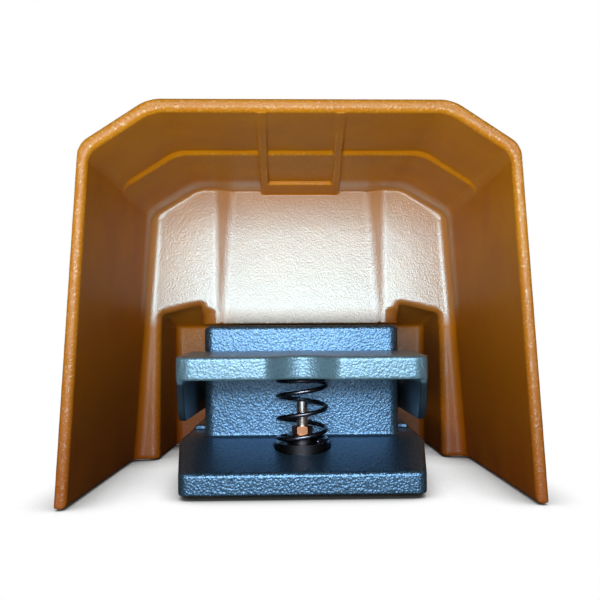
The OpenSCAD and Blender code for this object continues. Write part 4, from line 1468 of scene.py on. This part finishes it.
@dataclass
class Viewpoint:
    """The camera in front of the foot opening, at pedal height."""

    place: Point = (-1.94, -272.8, 62.8)
    yaw: float = 1.57
    pitch: float = 0.25
    roll: float = -0.36
    lens: float = 42.84
    sensor: float = 36
    shift: Band = (-0.0283, 0.0681)
    sight: Band = (0.01, 50)

    def build(self, shop: Shop) -> None:
        """Make the camera.

        It looks along Y, and is turned by yaw about the upright axis, then by pitch about its own
        level axis, then by roll about its line of sight.

        Args:
            shop: The shop whose depths its place is given in.
        """
        camera = bpy.data.cameras.new("camera")
        camera.sensor_width = self.sensor
        camera.lens = self.lens
        camera.shift_x, camera.shift_y = self.shift
        camera.clip_start, camera.clip_end = self.sight
        stand = bpy.data.objects.new("camera", camera)
        turn = (
            Matrix.Rotation(math.radians(-self.yaw), 4, "Z")
            @ Matrix.Rotation(math.radians(90 + self.pitch), 4, "X")
            @ Matrix.Rotation(math.radians(self.roll), 4, "Z")
        )
        spot = shop.place(np.array(self.place))
        stand.matrix_world = Matrix.Translation(Vector(spot)) @ turn
        bpy.context.scene.collection.objects.link(stand)
        bpy.context.scene.camera = stand


@dataclass(frozen=True)
class Lamp:
    """A soft flat lamp. Gloss and soak say whether it lights glossy and dull surfaces."""

    name: str
    spot: Point
    aim: Point
    size: Band
    level: float
    tint: Colour = (1, 1, 1)
    gloss: bool = True
    soak: bool = True

    def build(self) -> None:
        """Make the lamp.

        It sends level times white onto a surface that faces it at the aim when its power is level
        times pi squared times the squared distance.
        """
        light = bpy.data.lights.new(self.name, "AREA")
        light.shape = "RECTANGLE"
        light.size, light.size_y = self.size
        sight = Vector(self.aim) - Vector(self.spot)
        light.energy = self.level * math.pi**2 * sight.length**2
        light.color = self.tint
        lamp = bpy.data.objects.new(self.name, light)
        lamp.location = self.spot
        lamp.visible_glossy = self.gloss
        lamp.visible_diffuse = self.soak
        lamp.rotation_euler = sight.to_track_quat("-Z", "Y").to_euler()
        bpy.context.scene.collection.objects.link(lamp)


@dataclass
class Studio:
    """Pale floor, white surroundings and soft lamps."""

    floor_half: float = 12.0
    floor_tone: float = 0.2
    floor_rough: float = 0.9
    floor_show: float = 1.0
    grain_per_metre: float = 400
    grain_gain: float = 1.04
    contact: float = 0.03
    contact_band: Band = (0.25, 0.85)
    contact_samples: int = 8
    ambient: float = 0.05
    lamps: tuple[Lamp, ...] = (
        Lamp(
            "key_lamp", (-0.05, -0.54, 0.02), (0, -0.04, 0.08), (0.20, 0.06), 0.83, (1.0, 0.96, 0.76),
            gloss=False,
        ),
        Lamp("gloss_lamp", (-0.02, -0.44, 0.09), (0, -0.09, 0.05), (0.14, 0.12), 0.23, (0.98, 0.98, 1.0)),
        Lamp(
            "front_panel", (0, -0.58, 0.187), (0, 0.02, 0.11), (0.50, 0.14), 0.98, (0.85, 0.96, 1.0),
            soak=False,
        ),
        Lamp("left_rear_lamp", (-0.9, 0.6, 0.7), (0, 0.03, 0.08), (0.6, 0.6), 0.5),
        Lamp("right_rear_lamp", (0.9, 0.6, 0.7), (0, 0.03, 0.08), (0.6, 0.6), 0.5),
    )

    def floor(self) -> None:
        """Lay the floor.

        The camera sees it as white except where something stands close over it. There it sees the grey
        paper, a painted contact shade set by the occlusion, on which the lamps' real shadows also show.
        To everything else it is a grey paper.
        """
        material, r = new_material("floor_paper")
        seen = r.add("ShaderNodeLightPath", {}, {}, "Is Camera Ray")
        settings = {"samples": self.contact_samples}
        clear = r.add("ShaderNodeAmbientOcclusion", settings, {"Distance": self.contact}, "AO")
        grain = r.noise(self.grain_per_metre, detail=3, rough=0.6)
        grey, pale = (rgba((tone,) * 3) for tone in (self.floor_tone, self.floor_tone * self.grain_gain))
        paper = r.paint({"Base Color": r.blend(grain, grey, pale), "Roughness": self.floor_rough})
        white = r.add("ShaderNodeEmission", {}, {"Color": WHITE, "Strength": 1.0}, "Emission")
        # Painted contact shade: near things the occlusion lets the dark grey paper show instead of white.
        r.close(r.mix(seen * clear.window(*self.contact_band) * self.floor_show, paper, white))
        mesh = bpy.data.meshes.new("floor")
        half = self.floor_half
        corners = [(-half, -half, 0), (half, -half, 0), (half, half, 0), (-half, half, 0)]
        mesh.from_pydata(corners, [], [(0, 1, 2, 3)])
        mesh.materials.append(material)
        floor = bpy.data.objects.new("floor", mesh)
        bpy.context.scene.collection.objects.link(floor)

    def surroundings(self) -> None:
        """Hang the world: white to the camera, and dim to everything else."""
        world = bpy.data.worlds.new("studio")
        world.use_nodes = True
        r = Recipe(world.node_tree)
        seen = r.add("ShaderNodeLightPath", {}, {}, "Is Camera Ray")
        values = {"Value": seen, "To Min": self.ambient, "To Max": 1.0}
        level = r.add("ShaderNodeMapRange", {}, values, "Result")
        back = r.add("ShaderNodeBackground", {}, {"Color": WHITE, "Strength": level}, "Background")
        r.close(back, "ShaderNodeOutputWorld")
        bpy.context.scene.world = world
        bpy.context.scene.view_settings.view_transform = "Standard"

    def build(self) -> None:
        """Make floor, world and lamps."""
        self.floor()
        self.surroundings()
        for lamp in self.lamps:
            lamp.build()


def dress(nodes: dict[str, bpy.types.Object], slots: dict[str, str]) -> None:
    """Give every carried-over node the finish of its slot.

    Args:
        nodes: The frame's nodes by name.
        slots: The slot of each node.
    """
    for name, thing in sorted(nodes.items()):
        finish = SLOT_FINISH[slots[name]]
        for place in thing.material_slots:
            place.material = finish.build()
        LOG.info("%s: %s", name, finish.value.name)


def main() -> None:
    """Build the scene."""
    logging.basicConfig(level=logging.INFO, format="%(name)s %(message)s")
    slots = {s["node"]: s["material_slot"] for s in frame["record"]["subparts"]}
    shop = Shop(rim_y=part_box("hood")[0].y)
    dress(frame["nodes"], slots)
    Hood(shop).build()
    Base(shop).build()
    Pedal(shop).build()
    ReturnSpring(shop).build()
    Viewpoint().build(shop)
    Studio().build()


if __name__ == "__main__":
    main()
